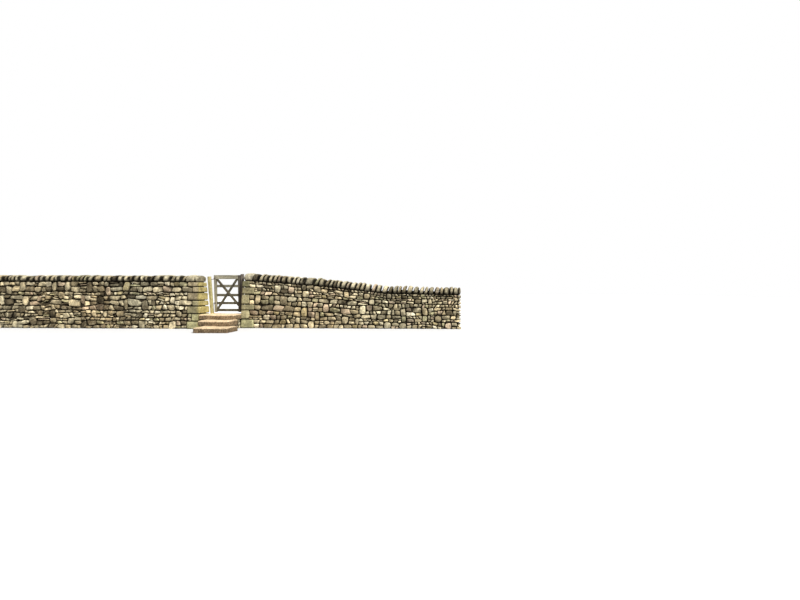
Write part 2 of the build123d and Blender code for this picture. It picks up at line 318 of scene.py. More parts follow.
def make_piece(name, body, parts, materials, replaced=()):
    """Joins parts into one object that rides on a body and stands for the nodes it replaces."""
    points = np.concatenate([one.points for one in parts])
    faces = []
    finishes = []
    start = 0
    for one in parts:
        faces.extend([corner + start for corner in face] for face in one.faces)
        finishes.extend([one.finish] * len(one.faces))
        start += len(one.points)
    mesh = bpy.data.meshes.new(name)
    mesh.from_pydata(points.tolist(), [], faces)
    grain = np.concatenate([one.grain for one in parts]).astype(np.float32)
    mesh.attributes.new("grain", "FLOAT_VECTOR", "POINT").data.foreach_set("vector", grain.ravel())
    tint = np.ones((len(points), 4), dtype=np.float32)
    tint[:, :3] = np.concatenate([np.broadcast_to(one.tint, one.points.shape) for one in parts])
    mesh.color_attributes.new("tint", "FLOAT_COLOR", "POINT").data.foreach_set("color", tint.ravel())
    for material in materials:
        mesh.materials.append(material)
    mesh.polygons.foreach_set("material_index", finishes)
    mesh.shade_smooth()
    mesh.set_sharp_from_angle(angle=sharp_angle)
    piece = bpy.data.objects.new(name, mesh)
    scene.collection.objects.link(piece)
    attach(piece, body)
    if replaced:
        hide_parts(*replaced)
    triangles = sum(len(face) - 2 for face in faces)
    print(name, "has", len(parts), "parts and", triangles, "triangles")


print("edges sharper than", round(sharp_angle, 2), "radians stay crisp")

# %% [markdown]
# A shader is a chain of small nodes. The same few links come again and again: a noise at a
# place, a noise turned into a number in a range, two numbers joined, two colours mixed.
# Each gets a short function, so that a finish reads as a list of what lies on the surface.

# %% Numbers in a shader
def add_noise(tree, place, scale, detail=4.0, roughness=0.6, distortion=0.0):
    """A noise texture at a place, in features per metre."""
    noise = tree.nodes.new("ShaderNodeTexNoise")
    noise.inputs["Scale"].default_value = scale
    noise.inputs["Detail"].default_value = detail
    noise.inputs["Roughness"].default_value = roughness
    noise.inputs["Distortion"].default_value = distortion
    tree.links.new(place, noise.inputs["Vector"])
    return noise.outputs["Fac"]


def add_ramp(tree, value, low, high, dark, light):
    """Turns a value between low and high into a number between dark and light."""
    ramp = tree.nodes.new("ShaderNodeMapRange")
    ramp.interpolation_type = "SMOOTHSTEP"
    ramp.inputs["From Min"].default_value = low
    ramp.inputs["From Max"].default_value = high
    ramp.inputs["To Min"].default_value = dark
    ramp.inputs["To Max"].default_value = light
    tree.links.new(value, ramp.inputs["Value"])
    return ramp.outputs["Result"]


def add_math(tree, operation, first, second):
    """Joins two values, or a value and a number."""
    math = tree.nodes.new("ShaderNodeMath")
    math.operation = operation
    tree.links.new(first, math.inputs[0])
    if isinstance(second, float):
        math.inputs[1].default_value = second
    else:
        tree.links.new(second, math.inputs[1])
    return math.outputs[0]


def product(tree, first, *others):
    """Several values, or values and numbers, multiplied together."""
    for other in others:
        first = add_math(tree, "MULTIPLY", first, other)
    return first


print("noise, ramp and product are ready")

# %% [markdown]
# Colour is built up in layers: a second colour is mixed in where a patch lies, and a grey
# level darkens the whole.

# %% Colours in a shader
def add_mix(tree, factor, first, second, blend="MIX"):
    """Mixes a colour with another colour, given as a socket or as three numbers."""
    mix = tree.nodes.new("ShaderNodeMix")
    mix.data_type = "RGBA"
    mix.blend_type = blend
    if isinstance(factor, float):
        mix.inputs["Factor"].default_value = factor
    else:
        tree.links.new(factor, mix.inputs["Factor"])
    tree.links.new(first, mix.inputs["A"])
    if isinstance(second, tuple):
        mix.inputs["B"].default_value = (*second, 1)
    else:
        tree.links.new(second, mix.inputs["B"])
    return mix.outputs["Result"]


def read_attribute(tree, name, socket):
    """A value that the mesh carries on its points."""
    reader = tree.nodes.new("ShaderNodeAttribute")
    reader.attribute_name = name
    return reader.outputs[socket]


def darken(tree, colour, shade):
    """Multiplies a colour by a grey level."""
    grey = tree.nodes.new("ShaderNodeCombineColor")
    for channel in ("Red", "Green", "Blue"):
        tree.links.new(shade, grey.inputs[channel])
    return add_mix(tree, 1.0, colour, grey.outputs["Color"], "MULTIPLY")


def two_tone(tree, value, low, dark, high, light):
    """A colour that runs from dark to light as a value runs from low to high."""
    ramp = tree.nodes.new("ShaderNodeValToRGB")
    for element, position, colour in zip(ramp.color_ramp.elements, (low, high), (dark, light)):
        element.position = position
        element.color = (*colour, 1)
    tree.links.new(value, ramp.inputs["Fac"])
    return ramp.outputs["Color"]


print("mix and shade are ready")

# %% [markdown]
# Relief that is too fine for the mesh becomes a bump, which only changes how the surface
# catches light. It has two scales, so that a surface breaks up both from afar and close by.

# %% Relief in a shader
bump_strength = 0.8


def add_bump(tree, shader, coarse, fine, coarse_depth, fine_depth):
    """Two scales of relief on one surface."""
    normal = None
    for height, depth in ((coarse, coarse_depth), (fine, fine_depth)):
        bump = tree.nodes.new("ShaderNodeBump")
        bump.inputs["Strength"].default_value = bump_strength
        bump.inputs["Distance"].default_value = depth
        tree.links.new(height, bump.inputs["Height"])
        if normal:
            tree.links.new(normal, bump.inputs["Normal"])
        normal = bump.outputs["Normal"]
    tree.links.new(normal, shader.inputs["Normal"])


print("bump is ready")

# %% [markdown]
# Hewn faces keep the marks of the pick, short upright grooves. They are a noise that is
# stretched upright by shrinking its place in that direction, and only steep faces show it.

# %% Marks of a pick
groove_scale = 40.0
upright_stretch = (1.0, 1.0, 0.42)


def tool_mark_shade(tree, place, facing_up, depth):
    """Upright grooves of a pick on hewn faces, as a grey level. Level faces have none."""
    upright = tree.nodes.new("ShaderNodeVectorMath")
    upright.operation = "MULTIPLY"
    upright.inputs[1].default_value = upright_stretch
    tree.links.new(place, upright.inputs[0])
    grooves = add_noise(tree, upright.outputs["Vector"], groove_scale, 4.0, 0.65)
    level = add_ramp(tree, facing_up, 0.2, 0.7, 1.0, 0.0)
    marks = product(tree, add_ramp(tree, grooves, 0.42, 0.58, depth, 0.0), level)
    return product(tree, add_math(tree, "SUBTRACT", marks, 1.0), -1.0)


print("grooves are", groove_scale, "to the metre across")

# %% [markdown]
# Weathered gritstone: a coarse sandstone, grey to brown, pink or ochre where it is fresh and green where it
# stays damp. Each stone brings its own colour. On it come, from large to small, dark rain stains, mottling,
# pale patches of crusty lichen with crisp edges, and the sparkle of coarse grains. Faces that look up are
# painted lighter and undersides darker: painted light from above and painted shade below. Lichen keeps off
# the darkened joints, where painted shade and dirt lie. The bump has two small scales: pits and grains.

# %% Stone material
crusty_lichen = (0.57, 0.52, 0.345)
stain_scale = 4.5
lichen_scale = 12.0
mottle_scale = 21.0
pit_scale = 45.0
grain_scale = 190.0


def gritstone(name, lichen_amount, stain_amount, lichen_colour=crusty_lichen, mottling=0.31, tool_marks=0.0):
    """Weathered gritstone in the colour that each stone carries, with tool marks if it was hewn."""
    material, tree, shader = node_material(name)
    place = read_attribute(tree, "grain", "Vector")
    colour = read_attribute(tree, "tint", "Color")
    damp = add_noise(tree, place, stain_scale, 3.0, 0.55, 0.6)
    stains = add_ramp(tree, damp, 0.38, 0.68, 1.0 - stain_amount, 1.12)
    blotches = add_noise(tree, place, mottle_scale, 5.0, 0.65)
    mottle = add_ramp(tree, blotches, 0.3, 0.7, 1.03 - mottling, 1.03 + mottling)
    grains = add_noise(tree, place, grain_scale, 2.0, 0.7)
    speckle = add_ramp(tree, grains, 0.25, 0.75, 0.8, 1.2)
    facing = tree.nodes.new("ShaderNodeSeparateXYZ")
    geometry = tree.nodes.new("ShaderNodeNewGeometry")
    tree.links.new(geometry.outputs["Normal"], facing.inputs["Vector"])
    # Painted light and shade: faces that look up are made lighter and faces that look down darker.
    painted_top_light = add_ramp(tree, facing.outputs["Z"], -0.5, 0.6, 0.62, 1.36)
    shade = product(tree, stains, mottle, speckle, painted_top_light)
    if tool_marks:
        shade = product(tree, shade, tool_mark_shade(tree, place, facing.outputs["Z"], tool_marks))
    own_grey = tree.nodes.new("ShaderNodeRGBToBW")
    tree.links.new(colour, own_grey.inputs["Color"])
    colour = darken(tree, colour, shade)
    patches = add_ramp(tree, add_noise(tree, place, lichen_scale, 6.0, 0.62, 0.9), 0.55, 0.63, 0.0, 1.0)
    upward = add_ramp(tree, facing.outputs["Z"], -0.4, 0.9, 0.35, 1.0)
    # Lichen keeps off points whose colour is darkened by painted joint shade and dirt.
    out_of_shade_and_dirt = add_ramp(tree, own_grey.outputs["Val"], 0.03, 0.16, 0.0, 1.0)
    lichen = product(tree, patches, upward, lichen_amount, out_of_shade_and_dirt)
    colour = add_mix(tree, lichen, colour, lichen_colour)
    tree.links.new(colour, shader.inputs["Base Color"])
    shader.inputs["Roughness"].default_value = 0.92
    shader.inputs["Specular IOR Level"].default_value = 0.08
    pits = add_noise(tree, place, pit_scale, 4.0, 0.6)
    add_bump(tree, shader, pits, grains, 0.010, 0.003)
    return material


wall_finish = gritstone("wall gritstone", 0.66, 0.52, mottling=0.38)
cope_finish = gritstone("coping gritstone", 0.70, 0.50, mottling=0.36)
head_finish = gritstone("head gritstone", 0.40, 0.34)
print("three stone finishes")

# %% [markdown]
# The small stones deep in the joints are painted nearly black, a little browner where a stone shows: painted
# shade, since they catch no light. They have almost no gloss, because a glossy surface would mirror the white
# sky and turn the joints grey.

# %% Hearting material
hearting_finish, hearting_tree, hearting_shader = node_material("hearting")
hearting_place = read_attribute(hearting_tree, "grain", "Vector")
hearting_noise = add_noise(hearting_tree, hearting_place, 30.0)
# Painted shade: the hearting is nearly black to stand for the shade deep in the joints.
shade_black = (0.011, 0.009, 0.006)
shaded_brown = (0.09, 0.072, 0.047)
hearting_colour = two_tone(hearting_tree, hearting_noise, 0.35, shade_black, 0.75, shaded_brown)
hearting_tree.links.new(hearting_colour, hearting_shader.inputs["Base Color"])
hearting_shader.inputs["Roughness"].default_value = 1.0
hearting_shader.inputs["Specular IOR Level"].default_value = 0.02
add_bump(hearting_tree, hearting_shader, hearting_noise, hearting_noise, 0.02, 0.004)
print("hearting finish")

# %% [markdown]
# A field wall is built of whatever stone lay near, so its colours are mixed. Each stone picks
# one of a few named colours by weight, and makes it a little lighter or darker. The right
# wall has more pink and fewer dark stones. A cap keeps pale stones from burning white.

# %% Stone colours
stone_colours = {
    "grey": (0.48, 0.41, 0.262),
    "brown": (0.39, 0.318, 0.19),
    "ochre": (0.52, 0.425, 0.225),
    "pink": (0.46, 0.36, 0.245),
    "green": (0.36, 0.327, 0.19),
    "pale": (0.64, 0.56, 0.37),
    "dark": (0.15, 0.122, 0.075),
    "mossy": (0.345, 0.318, 0.165),
    "dun": (0.39, 0.34, 0.185),
}
brightest = np.array((0.72, 0.64, 0.45))
colour_spread = (0.6, 1.4)
wall_mixes = {
    "left": {"grey": 9, "brown": 6, "ochre": 1, "pink": 1.5, "green": 1.5, "pale": 4, "dark": 3.5},
    "right": {"grey": 10, "brown": 6, "ochre": 1, "pink": 2.5, "green": 1.2, "pale": 3.6, "dark": 1.8},
}
cope_mix = {"grey": 7, "brown": 3, "ochre": 0.5, "pink": 2.5, "green": 0.4, "pale": 4.5, "dark": 1.5}
head_mix = {"mossy": 4, "dun": 3, "brown": 1}
# Ochre laid on the sunlit gateway ends of the left head blocks: lichen and painted sunlight.
sunny_ochre = np.array((0.40, 0.33, 0.12))


def pick_colour(mix, chance):
    """A colour from a weighted mix, a little lighter or darker than its name."""
    names = list(mix)
    weights = np.array([mix[name] for name in names], dtype=float)
    name = chance.choice(names, p=weights / weights.sum())
    return np.minimum(np.array(stone_colours[str(name)]) * chance.uniform(*colour_spread), brightest)


print(len(stone_colours), "stone colours")

# %% [markdown]
# The wall's own sizes are read from the frame: how far each bay runs, how high its top is, how
# thick it is at the foot and at the top. Both faces lean in, which is called the batter.
# The head stones say where each row has to start, since short and long ones take turns.

# %% Read the walls
def corners(name):
    """The corner points of a construction node."""
    return np.array([vertex.co[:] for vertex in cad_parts[name].data.vertices])


def read_side(side):
    """The run, top line, thickness and head stones of one side of the gateway."""
    sign = -1 if side == "left" else 1
    bays = [corners(f"{side}_wall_bay_{number}") for number in (1, 2, 3)]
    heads = sorted((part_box(name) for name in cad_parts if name.startswith(side + "_head_stone")),
                   key=lambda box: box[0][2])
    last_low, last_high = heads[-1]
    run = [min(abs(last_low[0]), abs(last_high[0]))]
    tops = [last_high[2]]
    for bay in bays:
        reach = np.abs(bay[:, 0])
        run.append(reach.max())
        tops.append(bay[reach > reach.max() - 0.001][:, 2].max())
    foot = bays[1][bays[1][:, 2] < 0.001][:, 1]
    crown = bays[1][bays[1][:, 2] > tops[2] - 0.001][:, 1]
    line = (foot.max() + foot.min()) / 2
    foot_half = (foot.max() - foot.min()) / 2
    batter = (foot_half - (crown.max() - crown.min()) / 2) / bays[1][:, 2].max()
    head_rows = [(low[2], high[2], max(abs(low[0]), abs(high[0]))) for low, high in heads]
    print(side, "line", round(line, 3), "tops", np.round(tops, 3), "batter", round(batter, 4))
    return SimpleNamespace(side=side, sign=sign, line=line, run=run, tops=tops, foot_half=foot_half,
                           batter=batter, head_rows=head_rows)


walls = [read_side("left"), read_side("right")]


def wall_top(wall, reach):
    """Height of a wall's top at a distance from the gateway's middle."""
    return np.interp(reach, wall.run, wall.tops)


def half_thickness(wall, height):
    """Half the wall's thickness at a height."""
    return wall.foot_half - wall.batter * height


# %% [markdown]
# A wall stone shows one rough face and runs back into the wall as it narrows. It is bounded by planes: four
# edges that lean in towards its tail, a broken front with two clefts across it, and a few corners knocked
# off. The edges keep an open joint to the neighbours, so that the hearting, painted near black as shade,
# shows between the stones as the dark of the joints does in a real wall.

# %% Planes of a wall stone
tail_lean = (0.03, 0.16)
front_tilt = 0.18
cleft_slope = (0.2, 0.55)
cleft_place = (0.15, 0.8)
knock_reach = (0.58, 0.90)


def edge_planes(outline, centre, seat_gaps, depth, chance):
    """The planes through a stone's four edges, each leaning in towards its tail."""
    for start, end, gap in zip(outline, np.roll(outline, -1, axis=0), seat_gaps):
        edge = end - start
        side = np.array([edge[1], -edge[0]]) / np.linalg.norm(edge)
        lean = chance.uniform(*tail_lean)
        length = (1 + lean ** 2) ** 0.5
        reach = side @ (start - centre) - gap
        yield np.array([side[0], -lean, side[1]]) / length, max(0.01, (reach - lean * depth / 2) / length)


def broken_planes(half, batter, knock_count, chance):
    """A stone's rough front: a main plane a little askew, two clefts across it and knocked corners."""
    tilt = chance.normal(0, front_tilt, 2)
    yield unit([tilt[0], 1.0, tilt[1] + batter]), half[1]
    for cleft in range(2):
        slope = chance.uniform(*cleft_slope) * unit(chance.normal(size=2))
        ridge = half[[0, 2]] * np.sign(slope) * chance.uniform(*cleft_place, 2)
        normal = unit([slope[0], 1.0, slope[1]])
        yield normal, normal @ (ridge[0], half[1], ridge[1])
    for corner in chance.choice(4, knock_count, replace=False):
        way = np.array([(-1, -1), (1, -1), (1, 1), (-1, 1)][corner]) * chance.uniform(0.5, 1.5, 2)
        knock = unit(way / half[[0, 2]])
        reach = (np.abs(knock) @ half[[0, 2]]) * chance.uniform(*knock_reach)
        yield np.array([knock[0], 0.0, knock[1]]), reach


print("a wall stone has 4 edges, a back, 3 front planes and 2 to 4 knocked corners")

# %% [markdown]
# The stone is made lying flat, with its outline and its depth, and only then set into its face. Its points
# may not come out past the face of the wall, nor sink below the ground. Its colour is darkened where its skin
# falls back into the joints: painted shade, with some dirt.

# %% A stone in a face
stone_cuts = 6
side_rows = 3
stone_depth = (0.12, 0.16)
smallest_half = 0.012
deepest_pits = 0.010
pits_to_half = 0.14
joint_shade_and_dirt = 0.9
joint_shade_starts, joint_shade_full = 0.012, 0.055
face_recess = (0.00095, 0.038)
behind_face = 0.001


def face_stone(face, outline, seat_gaps, mix, chance):
    """A rough stone behind a four-sided outline (along, up), counter-clockwise from lower left."""
    outline = np.asarray(outline)
    centre = outline.mean(axis=0)
    size = outline.max(axis=0) - outline.min(axis=0)
    depth = chance.uniform(*stone_depth)
    half = np.array([size[0] / 2, depth / 2, size[1] / 2])
    if min(half) < smallest_half:
        return None
    turn = chance.normal(0, face.askew)
    outline = centre + (outline - centre) @ np.array([[cos(turn), sin(turn)], [-sin(turn), cos(turn)]])
    planes = [*edge_planes(outline, centre, seat_gaps, depth, chance),
              *broken_planes(half, face.batter, int(chance.integers(2, 5)), chance),
              (np.array([0.0, -1.0, 0.0]), half[1])]
    grid, faces = face_skin(stone_cuts, side_rows)
    pitting = min(deepest_pits, pits_to_half * min(half))
    skin = worn_block(grid, half, planes, chance.uniform(*face.hardness), pitting, chance)
    # Painted shade with some dirt: the further a point lies behind the stone's front, the darker it is made.
    joint_shade = smooth_step(half[1] - skin[:, 1], joint_shade_starts, joint_shade_full)
    set_back = chance.uniform(*face_recess)
    along = np.minimum(skin[:, 0] + centre[0], face.furthest)
    up = np.maximum(skin[:, 2] + centre[1], 0.0)
    out = skin[:, 1] + face.limit(centre[1]) - set_back - half[1]
    out = np.minimum(out, face.limit(up) - behind_face)
    points = face.origin + along[:, None] * face.along + out[:, None] * face.outward
    points[:, 2] += up
    if face.mirrored:
        faces = [quad[::-1] for quad in faces]
    tint = pick_colour(mix, chance) * (1 - joint_shade_and_dirt * joint_shade)[:, None]
    stone = part(points, faces, points + chance.uniform(-40, 40, 3), tint)
    stone.along = centre[0]
    return stone


print("wall stones are", stone_depth, "metres deep")

# %% [markdown]
# The left wall is built less carefully than the right one: its stones lie more askew, their
# edges are rounder and its joints are wider. A face knows where it starts, which way it runs
# and looks, how far out its stones may reach and in which manner they are laid.

# %% Faces and manners of laying
rough_laid = {"hardness": (10, 30), "askew": 0.13, "slant": 0.052, "joint": (0.004, 0.019)}
well_laid = {"hardness": (12, 38), "askew": 0.095, "slant": 0.042, "joint": (0.004, 0.015)}


def upright_face(origin, along, outward_way, limit, furthest=99.0, batter=0.0, manner=well_laid):
    """A face that stones are laid behind, and the manner of laying them."""
    handed = np.dot(np.cross(along, outward_way), (0, 0, 1))
    return SimpleNamespace(origin=np.array(origin, dtype=float), along=np.array(along, dtype=float),
                           outward=np.array(outward_way, dtype=float), limit=limit, furthest=furthest,
                           batter=batter, mirrored=handed < 0, **manner)


print("joints on the left", rough_laid["joint"], "and on the right", well_laid["joint"])

# %% [markdown]
# A course is filled from its start to its end with stones of uneven length, because a waller
# takes them as they come. Their lengths are drawn in proportion to the course's height, and
# then all of them are scaled a little so that they fill the stretch.

# %% Cutting a course
length_to_height = (0.75, 2.3)
shortest_stone, longest_stone = 0.10, 0.38


def divide(start, end, height, chance):
    """Places where a stretch of a course is cut into stones of uneven length."""
    lengths = []
    while sum(lengths) < end - start:
        length = height * chance.uniform(*length_to_height)
        lengths.append(float(np.clip(length, shortest_stone, longest_stone)))
    if len(lengths) > 1 and end - start < sum(lengths) - lengths[-1] / 2:
        lengths.pop()
    ends = np.cumsum(lengths) * (end - start) / sum(lengths)
    return [start, *(start + ends)]


print("a course one hand high is cut at", np.round(divide(0, 1, 0.1, np.random.default_rng(1)), 2))

# %% [markdown]
# Some stones are tall enough to span two courses, so they are placed first and the rest fits
# round them. Some places take two thin stones. Neighbours share their corners before the joint
# pushes them apart, and the lowest row stands on the ground without a joint.

# %% Laying the courses
tall_width = (0.13, 0.25)
tall_apart = 0.2
tall_from_start, tall_from_end = 0.15, 0.5
split_share = 0.13
split_above = 0.09
split_at = (0.35, 0.65)
smallest_stretch = 0.05
measured_after = 0.1


def lay_courses(face, beds, bed_at, starts, end, mix, chance, tall_tries=0):
    """Fills a face with courses of stones between wandering beds."""
    stones = []
    taken = [[] for course in range(beds - 1)]

    def lay(left, right, low_bed, high_bed, low=0.0, high=1.0, slants=(0.0, 0.0)):
        """One stone between two beds, or in a share of the height between them."""
        outline = []
        for reach, slant, share in ((left, -slants[0], low), (right, -slants[1], low),
                                    (right, slants[1], high), (left, slants[0], high)):
            at = reach + slant
            bottom = bed_at(low_bed, at)
            outline.append((at, bottom + (bed_at(high_bed, at) - bottom) * share))
        gaps = chance.uniform(*face.joint, 4)
        if low_bed == 0 and low == 0.0:
            gaps[0] = 0.0
        if abs(right - end) < 0.001:
            gaps[1] = 0.0
        stone = face_stone(face, outline, gaps, mix, chance)
        if stone is not None:
            stones.append(stone)

    for attempt in range(tall_tries):
        course = int(chance.integers(0, beds - 2))
        nearest = max(starts[course], starts[course + 1]) + tall_from_start
        left = chance.uniform(nearest, end - tall_from_end)
        right = left + chance.uniform(*tall_width)
        spans = taken[course] + taken[course + 1]
        if all(right + tall_apart < a or left - tall_apart > b for a, b in spans):
            taken[course].append((left, right))
            taken[course + 1].append((left, right))
            lay(left, right, course, course + 2)

    for course in range(beds - 1):
        at = starts[course]
        for left, right in sorted(taken[course]) + [(end, end)]:
            measured = at + measured_after
            height = bed_at(course + 1, measured) - bed_at(course, measured)
            if left - at > smallest_stretch:
                cuts = divide(at, left, height, chance)
                slants = chance.uniform(-face.slant, face.slant, len(cuts))
                slants[0] = slants[-1] = 0.0
                for index in range(len(cuts) - 1):
                    pair = (slants[index], slants[index + 1])
                    if height > split_above and chance.random() < split_share:
                        split = chance.uniform(*split_at)
                        lay(cuts[index], cuts[index + 1], course, course + 1, 0.0, split)
                        lay(cuts[index], cuts[index + 1], course, course + 1, split, 1.0)
                    else:
                        lay(cuts[index], cuts[index + 1], course, course + 1, slants=pair)
            at = right
    return stones


print("one place in", round(1 / split_share), "takes two thin stones, if it is high enough")

# %% [markdown]
# A waller lays rows, but never level ones: a row rises over a fat stone and dips after it.
# So each bed is a slow wave between the level of the head stones and the sloping top, and
# every row starts at its own head stone.

# %% Beds of a wall face
course_height = (0.135, 0.175)
course_spread = (0.8, 1.25)
head_joint = 0.004
bed_wander = 0.5
wave_lengths = (0.6, 2.6)
settles_over = 0.5


def wall_beds(wall, chance):
    """Bed levels beside the head stones, where each course starts, and how its bed waves."""
    levels = [0.0]
    starts = []
    for low, high, far in wall.head_rows:
        count = max(1, round((high - low) / chance.uniform(*course_height)))
        shares = np.cumsum(chance.uniform(*course_spread, count))
        for share in shares / shares[-1]:
            levels.append(low + (high - low) * share)
            starts.append(far + head_joint)
    levels = np.array(levels)
    waves = [(chance.uniform(*wave_lengths, 4), chance.uniform(0, 2 * pi, 4)) for level in levels]

    def bed_at(bed, reach):
        """Height of a bed: it keeps its share of the wall's height and wanders on the way."""
        height = levels[bed] * wall_top(wall, reach) / levels[-1]
        if bed == 0 or bed == len(levels) - 1:
            return height
        lengths, phases = waves[bed]
        wander = np.sin(2 * pi * reach / lengths + phases).sum() / 4
        settle = np.clip((reach - starts[bed]) / settles_over, 0, 1)
        room = min(levels[bed] - levels[bed - 1], levels[bed + 1] - levels[bed])
        return height + bed_wander * room * settle * wander

    return len(levels), bed_at, starts


print("the left wall has", wall_beds(walls[0], np.random.default_rng(1))[0] - 1, "courses or so")

# %% [markdown]
# Between the two faces a waller packs small stones, the hearting. It is seen only as darkness in the joints,
# so one rough core per bay, painted near black as painted shade, is enough. It stays behind the faces.

# %% Hearting
core_inset = 0.075
core_roughness = 0.018
core_bumps = (0.07, 0.2)
wedge_rise = ((0.12, 0.07), (0.05, 0.16))
wedge_bumps = (0.05, 0.18)
wedge_sag = 0.3
core_rings, core_levels = 61, 30
# The core's near-black tint is painted shade.
core_shade_tint = (0.03, 0.03, 0.03)


def loft(rings):
    """Faces that skin a row of equal rings and close both ends."""
    count = len(rings[0])
    faces = []
    for row in range(len(rings) - 1):
        for i in range(count):
            j = (i + 1) % count
            faces.append([row * count + i, row * count + j, (row + 1) * count + j, (row + 1) * count + i])
    faces.append(list(range(count)))
    faces.append([(len(rings) - 1) * count + i for i in range(count)][::-1])
    return faces


def hearting(wall, run_from, run_to, chance):
    """The rubble core of a bay, and the small stones wedged between the feet of its coping."""
    rings = []
    for reach in np.linspace(run_from, run_to, core_rings):
        top = wall_top(wall, reach)
        levels = np.linspace(0, top, core_levels)
        outs = half_thickness(wall, levels) - core_inset
        levels = np.append(levels, [top + rise for out, rise in wedge_rise])
        outs = np.append(outs, [out for out, rise in wedge_rise])
        near = [(wall.sign * reach, wall.line - out, level) for out, level in zip(outs, levels)]
        far = [(wall.sign * reach, wall.line + out, level) for out, level in zip(outs, levels)]
        rings.append(near + far[::-1])
    points = np.array(rings).reshape(-1, 3)
    bumps = ripple(points, chance, *core_bumps, waves=12)
    inward = np.sign(wall.line - points[:, 1])
    points[:, 1] += inward * core_roughness * (1 + bumps) * (points[:, 2] > 0)
    above = np.clip(points[:, 2] - wall_top(wall, np.abs(points[:, 0])), 0, None)
    points[:, 2] -= above * wedge_sag * (1 + ripple(points * (1, 0, 0), chance, *wedge_bumps))
    return part(points, outward(points, loft(rings)), points, core_shade_tint, finish=1)


print("the core lies", core_inset, "behind the faces")

# %% [markdown]
# Rain runs and dries without regard to joints, so broad damp and dry patches pass over many stones. The top
# course is painted dark: partly damp that drips from the coping, partly painted shade under it.

# %% Weather over many stones
brightness = {"left": 1.07, "right": 1.24}
damp_darkens = 0.16
damp_patches = (1.1, 3.2)
warm_patches = (1.5, 4.0)
drip_and_shade_band = 0.12
drip_and_shade_level = (0.45, 0.85)


def weather(wall, stones, chance):
    """Broad damp and dry patches over many stones, and a dark band under the coping: drip damp and painted
    shade.
    """
    middles = [(stone.along, stone.points[:, 1].mean(), stone.points[:, 2].mean()) for stone in stones]
    places = np.array(middles)
    damp = ripple(places, chance, *damp_patches)
    warm = ripple(places, chance, *warm_patches)
    for stone, place, darkness, warmth in zip(stones, places, damp, warm):
        # Painted shade under the coping, with drip damp: stones near the wall's top are darkened.
        under_coping = place[2] > wall_top(wall, place[0]) - drip_and_shade_band
        band = chance.uniform(*drip_and_shade_level) if under_coping else 1.0
        hue = np.array((1.03 + 0.05 * warmth, 1.0, 0.95 - 0.05 * warmth))
        stone.tint = stone.tint * band * (brightness[wall.side] - damp_darkens * darkness) * hue


print("the top", drip_and_shade_band, "metres of each wall are dark")

# %% [markdown]
# Each side of the wall ends in a plain upright face. Its courses are one or two stones wide,
# and they get narrower upwards, because the two faces beside it lean in.

# %% Stones of an outer end
end_corner = 0.12
narrow_end = 0.09
end_cut_at = (-0.3, 0.3)
end_joint = 0.004


def lay_end(wall, mix, chance):
    """The stones of a wall's outer end, one or two to a course."""
    end = wall.run[-1]
    face = upright_face((0, wall.line, 0), (0, 1, 0), (wall.sign, 0, 0), lambda up: end + 0 * up)
    beds, bed_at, starts = wall_beds(wall, chance)
    stones = []
    for bed in range(beds - 1):
        low = bed_at(bed, end)
        high = bed_at(bed + 1, end)
        half = half_thickness(wall, high) - end_corner
        between = [] if half < narrow_end else [chance.uniform(*end_cut_at) * half]
        cuts = [-half, *between, half]
        for left, right in zip(cuts, cuts[1:]):
            outline = [(left, low), (right, low), (right, high), (left, high)]
            stone = face_stone(face, outline, [end_joint] * 4, mix, chance)
            if stone is not None:
                stone.along = end
                stones.append(stone)
    return stones


print("an end course under", 2 * narrow_end, "metres wide is one stone")

# %% [markdown]
# Each side of the wall gets its two faces and its outer end. The stones are then sorted into
# the bays of the construction model, so that each finished piece stands for one bay.

# %% Lay both walls
tall_tries = 60
core_from_end = 0.06


def lay_wall(wall, chance):
    """Both faces and the outer end of one side of the wall, sorted into its bays."""
    end = wall.run[-1]
    stones = []
    manner = rough_laid if wall.side == "left" else well_laid
    mix = wall_mixes[wall.side]
    for way in (-1, 1):
        face = upright_face((0, wall.line, 0), (wall.sign, 0, 0), (0, way, 0),
                            lambda up: half_thickness(wall, up), end - behind_face, wall.batter, manner)
        beds, bed_at, starts = wall_beds(wall, chance)
        stones += lay_courses(face, beds, bed_at, starts, end, mix, chance, tall_tries)
    stones += lay_end(wall, mix, chance)
    weather(wall, stones, chance)
    edges = wall.run[1:-1]
    bays = [[], [], []]
    for stone in stones:
        bays[int(np.searchsorted(edges, stone.along))].append(stone)
    core_edges = [wall.run[0] + core_from_end, *edges, end - core_from_end]
    for number, bay in enumerate(bays):
        bay.append(hearting(wall, core_edges[number], core_edges[number + 1], chance))
        make_piece(f"{wall.side}_wall_stones_{number + 1}", "wall_and_steps", bay,
                   [wall_finish, hearting_finish], [f"{wall.side}_wall_bay_{number + 1}"])


lay_wall(walls[0], np.random.default_rng(21))
lay_wall(walls[1], np.random.default_rng(22))

# %% [markdown]
# The coping, the head stones and the steps are single stones that the construction model
# already places. Each one is found in its node as a separate solid, by following which
# corners share a polygon.

